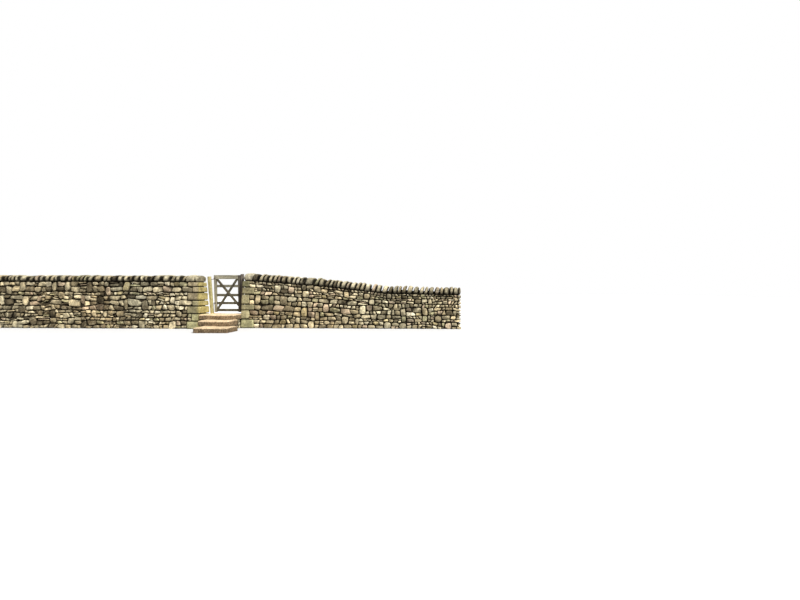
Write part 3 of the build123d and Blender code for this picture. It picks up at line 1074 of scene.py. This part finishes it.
# %% Solids of a node
def solids(name):
    """The separate solids of a node, each as its corner points and its distinct planes."""
    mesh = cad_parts[name].data
    points = corners(name)
    keys, merged = np.unique(np.round(points, 5), axis=0, return_inverse=True)
    merged = merged.ravel()
    owner = np.arange(len(keys))

    def root(i):
        while owner[i] != i:
            owner[i] = owner[owner[i]]
            i = owner[i]
        return i

    polygons = [[merged[i] for i in polygon.vertices] for polygon in mesh.polygons]
    for polygon in polygons:
        for corner in polygon[1:]:
            owner[root(corner)] = root(polygon[0])
    groups = {}
    for polygon, face in zip(polygons, mesh.polygons):
        groups.setdefault(root(polygon[0]), []).append((polygon, face))
    found = []
    for group in groups.values():
        used = sorted({corner for polygon, face in group for corner in polygon})
        planes = {}
        for polygon, face in group:
            normal = np.array(face.normal)
            key = tuple(np.round(normal, 2))
            planes.setdefault(key, (normal, keys[polygon[0]] @ normal))
        hull = [plane for plane in planes.values() if (keys[used] @ plane[0]).max() < plane[1] + 0.0005]
        found.append((keys[used], hull))
    return found


print("the first run of coping on the left has", len(solids("left_coping_1")), "stones")

# %% [markdown]
# The planes of a solid become the planes of a worn block, so the worn stone stays inside the
# space of the solid. A few more planes knock off its corners.

# %% Worn solids
def knocks(half, headings, bites, chance):
    """Planes that knock off a block's corners in the headings given, each by a bite of its own."""
    for heading in headings:
        normal = unit(np.array(heading) * chance.uniform(0.7, 1.3, 3) / half)
        yield normal, (np.abs(normal) @ half) * (1 - chance.uniform(*bites))


def worn_solid(solid, tint, chance, cuts, hardness, pitting, extra):
    """A worn stone inside one of the model's solids, and where on it each point is, from -1 to 1."""
    outline, planes = solid
    low = outline.min(axis=0)
    high = outline.max(axis=0)
    half = (high - low) / 2
    centre = (low + high) / 2
    own = [(normal, max(0.01, offset - normal @ centre)) for normal, offset in planes]
    planes = [*own, *(plane for headings, bites in extra for plane in knocks(half, headings, bites, chance))]
    grid, quads = cube_skin(cuts)
    local = worn_block(grid, half, planes, hardness, pitting, chance)
    points = local + centre
    return part(points, quads, points + chance.uniform(-40, 40, 3), tint), local / half


def some_corners(count, chance):
    """Headings towards a few of a block's eight corners."""
    return chance.choice([-1, 1], (count, 3)) * chance.uniform(0.3, 1, (count, 3))


print("a worn solid keeps to the planes of its node")

# %% [markdown]
# Coping stones stand on edge and hold the wall down by their weight. They are broken slabs, so their
# shoulders, feet and ridge ends are knocked off by chance, and each is a little lower and narrower than its
# solid. Each is painted darker at its foot and between neighbours, partly grime and partly painted shade, but
# not on the open side of the last stone.

# %% A coping stone
cope_cuts = (8, 13, 11)
cope_hardness = (13, 34)
cope_pitting = 0.012
shoulder_bite = (0.08, 0.30)
foot_bite = (0.16, 0.42)
ridge_bite = (0.06, 0.28)
corner_bite = (0.05, 0.2)
cope_height_share = (0.91, 1.0)
cope_width_share = (0.76, 0.94)
cope_brightness = 0.80


def coping_stone(solid, mix, grime_and_shade, open_side, chance):
    """A rough slab on edge: broken shoulders, knocked feet, painted grime and shade at its foot and between
    neighbours.
    """
    shoulders = [(side, chance.uniform(-0.3, 0.3), 0.9) for side in (-1, 1)]
    feet = [(side, chance.uniform(-0.2, 0.2), -0.6) for side in (-1, 1)]
    ridge_ends = [(chance.uniform(-0.3, 0.3), through, 0.7) for through in (-1, 1)]
    extra = [(shoulders, shoulder_bite), (feet, foot_bite), (ridge_ends, ridge_bite),
             (some_corners(2, chance), corner_bite)]
    stone, place = worn_solid(solid, pick_colour(mix, chance), chance, cope_cuts,
                              chance.uniform(*cope_hardness), cope_pitting, extra)
    foot = stone.points[:, 2].min()
    stone.points[:, 2] = foot + (stone.points[:, 2] - foot) * chance.uniform(*cope_height_share)
    middle = stone.points[:, 0].mean()
    stone.points[:, 0] = middle + (stone.points[:, 0] - middle) * chance.uniform(*cope_width_share)
    # Painted shade with some grime: darker at the foot and on the sides that face a neighbour.
    low_down_shade = 1 - smooth_step(place[:, 2], -0.9, -0.1)
    hemmed_in_shade = smooth_step(np.abs(place[:, 0]), 0.3, 0.8) * (1 - smooth_step(place[:, 2], 0.4, 0.95))
    hemmed_in_shade[place[:, 0] * open_side > 0] = 0.0
    stone.tint = cope_brightness * stone.tint * (1 - grime_and_shade * np.maximum(low_down_shade, hemmed_in_shade))[:, None]
    return stone


print("a coping stone keeps", cope_width_share, "of its solid's width")

# %% [markdown]
# No two slabs are alike, so a few neighbours are made as one wider stone. All of them lean over
# along the wall, each by its own amount, and less and less towards the wall's end, where no
# neighbour stands beyond them.

# %% Wider stones and a lean
join_slack = 0.012
lean_dies_over = 0.9


def one_wide(first, second):
    """Two neighbouring solids as one wide stone, under a level cap as high as the taller one."""
    outline = np.vstack([first[0], second[0]])
    shared = [plane for plane in first[1] + second[1] if (outline @ plane[0]).max() < plane[1] + join_slack]
    up = np.array([0.0, 0.0, 1.0])
    return outline, [*shared, (up, outline[:, 2].max())]


def cope_row(name, wide_share, chance):
    """The solids of a run of coping in order along the wall, some pairs of them joined."""
    row = sorted(solids(name), key=lambda solid: abs(solid[0][:, 0].mean()))
    stones = []
    while row:
        first = row.pop(0)
        stones.append(one_wide(first, row.pop(0)) if row and chance.random() < wide_share else first)
    return stones


def lean(stone, foot_z, way, wall_end):
    """Leans a stone over along the wall, less and less where the wall ends."""
    room = np.clip((wall_end - np.abs(stone.points[:, 0]).max()) / lean_dies_over, 0, 1)
    stone.points[:, 0] += way * room * (stone.points[:, 2] - foot_z)


print("the lean dies out over the last", lean_dies_over, "metres")

# %% [markdown]
# Most stones lean a little more than their solids do: on the right down the slope of the wall's top, and on
# the left towards the gate. The stones by the gate are pale and only lightly darkened. All others are painted
# dark at their feet and between them, partly grime and partly painted shade.

# %% Lay the coping
grime_and_shade = 0.93
clean_mix = {"pale": 1}
clean_grime_and_shade = 0.3
pale_reach = {"left": 1.1, "right": 0.7}
more_lean = {"left": -0.11, "right": 0.24}
lean_spread = {"left": 0.12, "right": 0.06}
wide_shares = {"left": (0.12, 0.12, 0.2), "right": (0.32, 0.0, 0.0)}
cope_chance = np.random.default_rng(31)
for wall in walls:
    for number, wide_share in enumerate(wide_shares[wall.side], 1):
        name = f"{wall.side}_coping_{number}"
        copes = []
        row = cope_row(name, wide_share, cope_chance)
        for index, solid in enumerate(row):
            near_gate = np.abs(solid[0][:, 0]).min() < pale_reach[wall.side]
            open_side = wall.sign if number == 3 and index == len(row) - 1 else 0
            cope = coping_stone(solid, clean_mix if near_gate else cope_mix,
                                clean_grime_and_shade if near_gate else grime_and_shade, open_side, cope_chance)
            way = wall.sign * more_lean[wall.side] + cope_chance.normal(0, lean_spread[wall.side])
            lean(cope, solid[0][:, 2].min(), way, wall.run[-1])
            copes.append(cope)
        make_piece(f"{wall.side}_copes_{number}", "wall_and_steps", copes,
                   [cope_finish], [name])

# %% [markdown]
# The ends at the gateway are squared blocks, long and short in turn. They were dressed, so their edges are
# straighter, with chips out of them, and their joints are thin and painted dark towards the beds, partly dirt
# and partly painted shade. On the left the end that looks into the gateway is painted ochre: partly yellow
# lichen, partly painted sunlight. The top block on the right is painted at half its colour, a painted shade,
# and is the darkest.

# %% Head stones
head_cuts = (12, 12, 10)
head_hardness = 38
head_pitting = 0.009
chip_bite = (0.02, 0.13)
bed_joint = (0.008, 0.018)
bed_shade_and_dirt = 0.7
sunny_share = 0.85
shaded_top = 0.5


def head_block(solid, chance, gate_side):
    """A squared block: straight arrises with chips out of them, and painted shade and dirt towards its bed
    joints.
    """
    extra = [(some_corners(5, chance), chip_bite)]
    block, place = worn_solid(solid, pick_colour(head_mix, chance), chance, head_cuts,
                              head_hardness, head_pitting, extra)
    foot = block.points[:, 2].min()
    height = block.points[:, 2].max() - foot
    block.points[:, 2] = foot + (block.points[:, 2] - foot) * (1 - chance.uniform(*bed_joint) / height)
    # Painted shade with some dirt: the block darkens towards its top and bottom beds.
    bed_shade = smooth_step(np.abs(place[:, 2]), 0.72, 1.0)
    # Painted sunlight with lichen: the gateway end of the left blocks turns ochre.
    sunny = 0.0
    if gate_side > 0:
        sunny = sunny_share * smooth_step(place[:, 0], 0.35, 0.95)[:, None]
    block.tint = block.tint * (1 - sunny) + sunny_ochre * chance.uniform(0.85, 1.1) * sunny
    block.tint = block.tint * (1 - bed_shade_and_dirt * bed_shade)[:, None]
    return block


head_chance = np.random.default_rng(41)
for name in sorted(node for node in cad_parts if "_head_stone_" in node):
    gate_side = 1 if name.startswith("left") else -1
    blocks = [head_block(solid, head_chance, gate_side) for solid in solids(name)]
    # Painted shade: the top block on the right is darkened to half its colour.
    if gate_side < 0 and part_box(name)[1][2] > walls[1].tops[0] - 0.01:
        blocks[0].tint = blocks[0].tint * shaded_top
    make_piece(name.replace("head_stone", "head_block"), "wall_and_steps", blocks,
               [head_finish], [name])

# %% [markdown]
# The steps are thick slabs of pinkish grit, hollowed where feet fall. Their fronts were hewn
# with a pick, which left rough upright marks, and years of boots have broken their front
# edges. Each front edge is cut back by a chip whose size changes along it.

# %% A chipped edge
least_chip, broad_chip, fine_chip = 0.014, 0.022, 0.010
broad_chip_lengths = (0.2, 0.7)
fine_chip_lengths = (0.05, 0.12)


def edge_chip(points, low, high, chance):
    """Cuts a slab's upper front edge back by a chamfer that grows and shrinks along it."""
    along = np.column_stack([points[:, 0], np.zeros(len(points)), np.zeros(len(points))])
    broad = ripple(along, chance, *broad_chip_lengths)
    fine = ripple(along, chance, *fine_chip_lengths)
    chamfer = least_chip + broad_chip * np.clip(broad, 0, 1) + fine_chip * np.clip(fine, 0, 1)
    short = np.clip(chamfer - (points[:, 1] - low[1]) - (high[2] - points[:, 2]), 0, None)
    points[:, 1] += short / 2
    points[:, 2] -= short / 2


print("a chip is at least", least_chip, "metres")

# %% [markdown]
# The slabs start as the other worn solids do, with many more points. Then the front is made uneven, its edge
# is chipped and the top is lowered in the middle. The top is painted pale and the front dark brown: partly
# the wear of feet and dirt, partly painted light on the tread and painted shade on the front.

# %% Steps
step_cuts = (56, 18, 10)
step_hardness = 60
step_pitting = 0.003
worn_width = 0.76
worn_depth = 0.009
worn_below = 0.06
hewn_front = (-0.80, -0.97)
hewn_depth = 0.006
hewn_marks = (0.04, 0.11)
edge_bite = (0.01, 0.05)
tread_from, tread_to = 0.045, 0.012
step_finish = gritstone("step gritstone", 0.10, 0.20, (0.62, 0.54, 0.37), mottling=0.18, tool_marks=0.6)
tread_worn_and_lit = np.array((0.60, 0.455, 0.285))
riser_dirt_and_shade = np.array((0.265, 0.186, 0.108))


def hewn_slab(name, chance):
    """A step in the space of its node, with a hewn front, a chipped edge and a trodden hollow."""
    low, high = (np.array(corner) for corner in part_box(name))
    slab, place = worn_solid(solids(name)[0], tread_worn_and_lit, chance, step_cuts, step_hardness,
                             step_pitting, [(some_corners(4, chance), edge_bite)])
    points = slab.points
    front = smooth_step(place[:, 1], *hewn_front)
    points[:, 1] += front * hewn_depth * (1 + ripple(points * (1, 0, 0.25), chance, *hewn_marks))
    edge_chip(points, low, high, chance)
    middle = (low[0] + high[0]) / 2
    across = np.clip(1 - ((points[:, 0] - middle) / (worn_width / 2)) ** 2, 0, 1)
    points[:, 2] -= worn_depth * across * smooth_step(points[:, 2], high[2] - worn_below, high[2])
    # Painted light and shade with wear: the top is pale as trodden and lit, the front dark brown as dirty and
    # shaded.
    trodden_and_lit = smooth_step(points[:, 2], high[2] - tread_from, high[2] - tread_to)[:, None]
    slab.tint = (riser_dirt_and_shade + (tread_worn_and_lit - riser_dirt_and_shade) * trodden_and_lit) * chance.uniform(0.9, 1.1)
    return slab


step_chance = np.random.default_rng(51)
for name in ("threshold_stone", "upper_step", "lower_step"):
    slab = hewn_slab(name, step_chance)
    make_piece(name.replace("_stone", "") + "_slab", "wall_and_steps", [slab],
               [step_finish], [name])

# %% [markdown]
# The steps stand on rubble. It is laid as the wall is, but in level courses on upright faces, with a
# near-black block behind them, a painted shade in place of the small stones that don't show.

# %% Rubble
rubble_course = 0.11
rubble_inset = 0.085


def rubble(outward_way, limit, start, end, top, chance):
    """Courses of rubble on one upright face of the packing, which starts at the ground."""
    along = (0, 1, 0) if outward_way[0] else (1, 0, 0)
    face = upright_face((0, 0, 0), along, outward_way, lambda up: limit + 0 * up)
    count = max(2, round(top / rubble_course))
    rise = np.linspace(0, top, count + 1)
    return lay_courses(face, count + 1, lambda bed, reach: rise[bed], [start] * count, end,
                       wall_mixes["left"], chance)


def dark_block(low, high):
    """The inside of a mass of rubble, as a near-black block of painted shade."""
    near, far = low[1] + rubble_inset, high[1] - rubble_inset
    rings = []
    for x in (low[0] + rubble_inset, high[0] - rubble_inset):
        rings.append([(x, near, 0), (x, far, 0), (x, far, high[2]), (x, near, high[2])])
    points = np.array(rings).reshape(-1, 3)
    return part(points, outward(points, loft(rings)), points, core_shade_tint, finish=1)


print("rubble lies in courses of about", rubble_course, "metres")

# %% [markdown]
# Rubble carries the threshold and the back of the upper step. It shows under their edges, on
# the far side and at the step's sides, so those faces get courses of their own.

# %% Packing
toe_overlap = 0.14
packing_chance = np.random.default_rng(61)
packing = corners("step_packing")
toe = packing[packing[:, 1] < packing[:, 1].min() + 0.001]
body = packing[packing[:, 1] > packing[:, 1].max() - 0.001]
front = np.unique(np.round(packing[packing[:, 2] > packing[:, 2].max() - 0.001][:, 1], 4)).min()
toe_low, toe_high = toe.min(axis=0), toe.max(axis=0)
body_high = body.max(axis=0)
inner = np.abs(body[body[:, 2] < 0.001][:, 0]).min()
packing_faces = (
    ((0, -1, 0), -front, -inner, inner, body_high[2]),
    ((0, 1, 0), body_high[1], -inner, inner, body_high[2]),
    ((1, 0, 0), inner, front, body_high[1], body_high[2]),
    ((-1, 0, 0), inner, front, body_high[1], body_high[2]),
    ((1, 0, 0), toe_high[0], toe_low[1], front, toe_high[2]),
    ((-1, 0, 0), -toe_low[0], toe_low[1], front, toe_high[2]),
)
rubble_stones = []
for packing_face in packing_faces:
    rubble_stones += rubble(*packing_face, packing_chance)
rubble_stones.append(dark_block((-inner, front, 0), (inner, body_high[1], body_high[2])))
rubble_stones.append(dark_block((toe_low[0], toe_low[1], 0), (toe_high[0], front + toe_overlap, toe_high[2])))
make_piece("packing_stones", "wall_and_steps", rubble_stones, [wall_finish, hearting_finish],
           ["step_packing"])

# %% [markdown]
# Old softwood weathers in furrows: the soft wood between the growth rings wears away first, so
# each face gets fine ridges that run its whole length, and a few long cracks. A board is a
# loft. A rounded rectangle is repeated along it, each point sunk by its own furrow, and the
# two ends can be cut at a slant. It never gets wider than the sawn timber it was.

# %% Section of a board
def section(width, thickness, radius, spacing=0.013):
    """Points round a rounded rectangle, and the way that each of them faces."""
    points = []
    ways = []
    quarters = ((1, 1, 0), (-1, 1, 90), (-1, -1, 180), (1, -1, 270))
    middles = np.array((width / 2 - radius, thickness / 2 - radius))
    for number, (right, up, first) in enumerate(quarters):
        for angle in (0, 45, 90):
            way = np.array((cos(radians(first + angle)), sin(radians(first + angle))))
            points.append((right, up) * middles + radius * way)
            ways.append(way)
        right, up, first = quarters[(number + 1) % 4]
        way = np.array((cos(radians(first)), sin(radians(first))))
        target = (right, up) * middles + radius * way
        count = int(np.linalg.norm(target - points[-1]) / spacing)
        start = points[-1]
        for share in np.arange(1, count) / max(count, 1):
            points.append(start + (target - start) * share)
            ways.append(way)
    return np.array(points), np.array(ways)


print("a post's section has", len(section(0.09, 0.09, 0.009)[0]), "points")

# %% [markdown]
# The section is repeated along the board, closer together at its ends, where the wear is. Three
# of its points sink deeper towards the board's first end, each over a length of its own, as
# cracks do.

# %% Boards
end_wear = 0.0025
furrow_sway = 0.3
furrow_pace = 9
crack_depth = 0.0035
crack_reach = (0.1, 0.35)
ring_spacing = 0.035
near_end = (0.004, 0.012)


def board(low, high, across, width, thickness, tint, chance, cuts=(None, None), radius=0.004, furrow=0.0016):
    """A weathered board between two points on its centre line, its width lying across."""
    low, high = np.array(low, dtype=float), np.array(high, dtype=float)
    length = np.linalg.norm(high - low)
    axis = (high - low) / length
    across = unit(across)
    through = np.cross(axis, across)
    outline, ways = section(width, thickness, radius)
    offsets = outline[:, :1] * across + outline[:, 1:] * through
    facing = ways[:, :1] * across + ways[:, 1:] * through
    first, last = (unit(axis if cut is None else cut) for cut in cuts)
    starts = -(offsets @ first) / (axis @ first)
    ends = length - (offsets @ last) / (axis @ last)
    depths = furrow * chance.uniform(0, 1, len(outline))
    phases = chance.uniform(0, 2 * pi, len(outline))
    cracks = chance.choice(len(outline), 3, replace=False)
    reach = chance.uniform(*crack_reach, 3)
    ends_of_run = [0, *(distance / length for distance in near_end)]
    between = np.linspace(0, 1, max(4, int(length / ring_spacing)))[1:-1]
    shares = [*ends_of_run, *between, *(1 - share for share in ends_of_run[::-1])]
    rings = []
    grain = []
    for share in shares:
        along = starts + (ends - starts) * share
        sink = depths * (1 - furrow_sway + furrow_sway * np.sin(along * furrow_pace + phases))
        for crack, limit in zip(cracks, reach):
            sink[crack] += crack_depth * max(0.0, 1 - share / limit)
        if share in (0, 1):
            sink = sink + end_wear
        ring = low + along[:, None] * axis + offsets - facing * sink[:, None]
        rings.append(ring)
        grain.append(np.column_stack([along, outline]))
    points = np.concatenate(rings)
    return part(points, outward(points, loft(rings)), np.concatenate(grain) + chance.uniform(-9, 9, 3), tint)


print("boards have a ring of points every", ring_spacing, "metres")

# %% [markdown]
# Old timber is grey and streaked along its grain. The noise is stretched along the board, by
# shrinking its place in that direction, and that turns blotches into streaks. Rain stains and
# algae lie across the grain and are not stretched. Each board brings its own colour.

# %% Timber material
along_stretch = (0.06, 1.0, 1.0)
fine_streaks = 110.0
broad_streaks = 28.0
rain_stain_scale = 7.0
algae_scale = 16.0


def weathered_timber(name, algae_amount, algae_colour, streak_dark=0.55, streak_light=1.28):
    """Grey old softwood: streaks along the grain, rain stains across it, algae in patches."""
    material, tree, shader = node_material(name)
    place = read_attribute(tree, "grain", "Vector")
    stretch = tree.nodes.new("ShaderNodeVectorMath")
    stretch.operation = "MULTIPLY"
    stretch.inputs[1].default_value = along_stretch
    tree.links.new(place, stretch.inputs[0])
    streaks = add_noise(tree, stretch.outputs["Vector"], fine_streaks, 4.0, 0.65)
    broad = add_noise(tree, stretch.outputs["Vector"], broad_streaks, 3.0, 0.6)
    streak_level = add_ramp(tree, streaks, 0.28, 0.7, streak_dark, streak_light)
    broad_level = add_ramp(tree, broad, 0.3, 0.7, 0.72, 1.2)
    stain_level = add_ramp(tree, add_noise(tree, place, rain_stain_scale, 4.0, 0.6), 0.35, 0.7, 0.7, 1.12)
    shade = product(tree, streak_level, broad_level, stain_level)
    colour = darken(tree, read_attribute(tree, "tint", "Color"), shade)
    algae = add_noise(tree, place, algae_scale, 5.0, 0.6, 0.5)
    patches = add_ramp(tree, algae, 0.45, 0.65, 0.0, algae_amount)
    colour = add_mix(tree, patches, colour, algae_colour)
    tree.links.new(colour, shader.inputs["Base Color"])
    shader.inputs["Roughness"].default_value = 0.85
    shader.inputs["Specular IOR Level"].default_value = 0.15
    add_bump(tree, shader, broad, streaks, 0.003, 0.0015)
    return material


gate_finish = weathered_timber("weathered gate timber", 0.30, (0.22, 0.21, 0.135))
left_post_finish = weathered_timber("algae post timber", 0.6, (0.46, 0.42, 0.19))
right_post_finish = weathered_timber("dark post timber", 0.25, (0.17, 0.17, 0.12))
print("three timber finishes")

# %% [markdown]
# The left post has been pulled over towards the wall and has gone yellow-green with algae in the sun. The
# right post stands upright and is painted nearly black, a painted shade. Its top is cut at a slope so that
# rain runs off.

# %% Gateposts
def post_axis(name):
    """The centre line and section of a post, read from its lowest and highest corners."""
    points = corners(name)
    foot = points[points[:, 2] < 0.001]
    low = (foot.min(axis=0) + foot.max(axis=0)) / 2
    size = foot.max(axis=0) - foot.min(axis=0)
    return low, size[:2], points


post_chance = np.random.default_rng(71)
left_post_tint = (0.47, 0.405, 0.19)
# The right post's near-black tint is painted shade.
right_post_shade_tint = (0.15, 0.125, 0.105)
left_post_lean = radians(3.5)
low, size, points = post_axis("left_gatepost")
lean_axis = np.array((-sin(left_post_lean), 0, cos(left_post_lean)))
reach = (points @ lean_axis).max() - low @ lean_axis
left_post = board(low, low + lean_axis * reach, (cos(left_post_lean), 0, sin(left_post_lean)),
                  size[0] * cos(left_post_lean), size[1], left_post_tint, post_chance,
                  cuts=((0, 0, 1), None), radius=0.009, furrow=0.003)
left_post.points[:, 2] = np.maximum(left_post.points[:, 2], 0.0)
make_piece("left_post_weathered", "wall_and_steps", [left_post], [left_post_finish],
           ["left_gatepost"])

post_top_fall = radians(8)
low, size, points = post_axis("right_gatepost")
middle_top = points[:, 2].max() - size[1] / 2 * tan(post_top_fall)
rain_slope = (0, -sin(post_top_fall), cos(post_top_fall))
right_post = board(low, (*low[:2], middle_top), (1, 0, 0), size[0], size[1], right_post_shade_tint,
                   post_chance, cuts=(None, rain_slope), radius=0.008, furrow=0.0025)
make_piece("right_post_weathered", "wall_and_steps", [right_post], [right_post_finish],
           ["right_gatepost"])

# %% [markdown]
# The leaf is framed: five rails are tenoned through two stiles. The tenons show as small end grain on the
# outer edges of the stiles, and pegs hold each one. The top rail and the heel stile are painted pale, as
# painted sunlight. The lower rails, the latch stile and the braces are painted dark, as painted shade, and
# algae lies in patches on all of them.

# %% Gate leaf
leaf_chance = np.random.default_rng(81)
# Painted light and shade: one grey timber, given pale tints where the sun falls and dark tints where shade
# falls.
timber_lit_and_shaded_tints = {
    "heel_stile": (0.32, 0.29, 0.20),
    "latch_stile": (0.10, 0.085, 0.065),
    "top_rail": (0.39, 0.36, 0.26),
    "second_rail": (0.25, 0.23, 0.17),
    "third_rail": (0.135, 0.12, 0.085),
    "fourth_rail": (0.105, 0.092, 0.065),
    "bottom_rail": (0.095, 0.082, 0.058),
    "rising_brace": (0.085, 0.073, 0.048),
    "falling_brace": (0.095, 0.080, 0.053),
}
heel_low, heel_high = (np.array(corner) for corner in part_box("heel_stile"))
latch_low, latch_high = (np.array(corner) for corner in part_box("latch_stile"))
for name in ("heel_stile", "latch_stile"):
    low, high = (np.array(corner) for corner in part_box(name))
    middle = (low + high) / 2
    stile = board((middle[0], middle[1], low[2]), (middle[0], middle[1], high[2]), (1, 0, 0),
                  high[0] - low[0], high[1] - low[1], timber_lit_and_shaded_tints[name], leaf_chance)
    make_piece(name + "_weathered", "gate_leaf", [stile], [gate_finish], [name])

tenon_thickness = 0.014
tenon_shoulder = 0.012
rails = ["bottom_rail", "fourth_rail", "third_rail", "second_rail", "top_rail"]
for name in rails:
    low, high = (np.array(corner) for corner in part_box(name))
    middle = (low + high) / 2
    height = high[2] - low[2]
    tint = timber_lit_and_shaded_tints[name]
    rail = board((heel_high[0], middle[1], middle[2]), (latch_low[0], middle[1], middle[2]), (0, 0, 1),
                 height, high[1] - low[1], tint, leaf_chance)
    tenon = board((low[0], middle[1], middle[2]), (high[0], middle[1], middle[2]), (0, 0, 1),
                  height - 2 * tenon_shoulder, tenon_thickness, tint, leaf_chance, radius=0.001, furrow=0.0)
    make_piece(name + "_weathered", "gate_leaf", [rail, tenon], [gate_finish], [name])

# %% [markdown]
# Two crossed braces are nailed over the rails and keep the leaf from sagging. The falling
# brace lies in front where the two cross. Both are cut upright at the stiles.

# %% Braces
brace_width = 0.076
brace_heights = {"rising_brace": (0.560, 1.655), "falling_brace": (1.655, 0.765)}
brace_lap = {"rising_brace": 0.0015, "falling_brace": 0.0}
for name, (heel_z, latch_z) in brace_heights.items():
    low, high = (np.array(corner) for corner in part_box(name))
    front = low[1] + brace_lap[name]
    middle_y = (front + high[1]) / 2
    foot, head = np.array((low[0], middle_y, heel_z)), np.array((high[0], middle_y, latch_z))
    slant = unit(head - foot)
    brace = board(foot, head, np.cross((0, 1, 0), slant), brace_width, high[1] - front, timber_lit_and_shaded_tints[name],
                  leaf_chance, cuts=((1, 0, 0), (1, 0, 0)), radius=0.003)
    brace.points[:, 2] = np.clip(brace.points[:, 2], low[2], high[2])
    make_piece(name + "_weathered", "gate_leaf", [brace], [gate_finish], [name])

# %% [markdown]
# Nail heads and pegs are small domes, turned like a knob on a lathe: a short profile is spun
# round an axis.

# %% Domes
def dome(centre, axis, radius, height, tint, sides=12):
    """A low round head that stands on a face."""
    axis = unit(axis)
    first = unit(np.cross(axis, (0.3, 0.9, 0.2)))
    second = np.cross(axis, first)
    rings = []
    for spread, rise in ((1.0, -0.6), (1.0, 0.35), (0.75, 0.8), (0.35, 1.0)):
        angles = np.arange(sides) * 2 * pi / sides
        ring = np.cos(angles)[:, None] * first + np.sin(angles)[:, None] * second
        rings.append(np.array(centre) + ring * radius * spread + axis * height * rise)
    points = np.concatenate(rings)
    return part(points, outward(points, loft(rings)), points, tint)


print("a dome has", len(dome((0, 0, 0), (0, 0, 1), 0.01, 0.004, (1, 1, 1)).points), "points")

# %% [markdown]
# The hooks and bands keep the shapes of the construction model and only get a finish. They are
# old galvanised iron, dull grey, with rust where the zinc has gone.

# %% Iron
zinc_scale = 140.0
rust_scale = 42.0
rust_brown = (0.17, 0.075, 0.035)


def iron(name, rust_amount):
    """Dull iron with rust in patches."""
    material, tree, shader = node_material(name)
    coordinates = tree.nodes.new("ShaderNodeTexCoord")
    place = coordinates.outputs["Object"]
    mottle = add_noise(tree, place, zinc_scale, 3.0, 0.6)
    zinc = two_tone(tree, mottle, 0.3, (0.10, 0.095, 0.09), 0.7, (0.24, 0.235, 0.225))
    patches = add_noise(tree, place, rust_scale, 6.0, 0.65, 0.4)
    rust = add_ramp(tree, patches, 0.5, 0.62, 0.0, rust_amount)
    colour = add_mix(tree, rust, zinc, rust_brown)
    tree.links.new(colour, shader.inputs["Base Color"])
    tree.links.new(add_ramp(tree, mottle, 0.3, 0.7, 0.5, 0.8), shader.inputs["Roughness"])
    shader.inputs["Metallic"].default_value = 0.6
    add_bump(tree, shader, mottle, mottle, 0.0012, 0.0006)
    return material


iron_finish = iron("rusted iron", 0.85)
for name in ("top_hook", "bottom_hook", "top_band", "bottom_band"):
    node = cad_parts[name]
    node.data.materials.clear()
    node.data.materials.append(iron_finish)
print("two hooks and two bands are iron")

# %% [markdown]
# Two pegs hold each tenon. Two nails hold a brace where it crosses a rail below the top one. A
# larger nail holds each band on either side of the leaf.

# %% Pegs and nails
nail_tint = (0.12, 0.095, 0.075)
peg_tint = (0.24, 0.20, 0.14)
towards_steps = (0, -1, 0)
peg_radius, peg_height, pegs_apart = 0.006, 0.0015, 0.032
nail_radius, nail_height, nails_apart = 0.0045, 0.002, 0.028
band_nail_radius, band_nail_height = 0.009, 0.004
band_nail_from_end = 0.022
nails = []
pegs = []
for name in rails:
    low, high = (np.array(corner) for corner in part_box(name))
    middle_z = (low[2] + high[2]) / 2
    for side_low, side_high in ((heel_low, heel_high), (latch_low, latch_high)):
        middle_x = (side_low[0] + side_high[0]) / 2
        for shift in (-pegs_apart / 2, pegs_apart / 2):
            place = (middle_x + shift, side_low[1] + peg_height, middle_z)
            pegs.append(dome(place, towards_steps, peg_radius, peg_height, peg_tint))
    if name == "top_rail":
        continue
    for brace_name, (heel_z, latch_z) in brace_heights.items():
        low, high = (np.array(corner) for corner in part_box(brace_name))
        share = (middle_z - heel_z) / (latch_z - heel_z)
        if 0.04 < share < 0.96:
            crossing = low[0] + (high[0] - low[0]) * share
            for shift in (-nails_apart / 2, nails_apart / 2):
                place = (crossing + shift, low[1] + nail_height, middle_z + shift)
                nails.append(dome(place, towards_steps, nail_radius, nail_height, nail_tint))
for name in ("top_band", "bottom_band"):
    low, high = (np.array(corner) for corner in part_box(name))
    for face_y, way in ((low[1], -1), (high[1], 1)):
        place = (high[0] - band_nail_from_end, face_y, (low[2] + high[2]) / 2)
        nails.append(dome(place, (0, way, 0), band_nail_radius, band_nail_height, nail_tint))
make_piece("leaf_pegs", "gate_leaf", pegs, [gate_finish])
make_piece("leaf_nails", "gate_leaf", nails, [iron_finish])
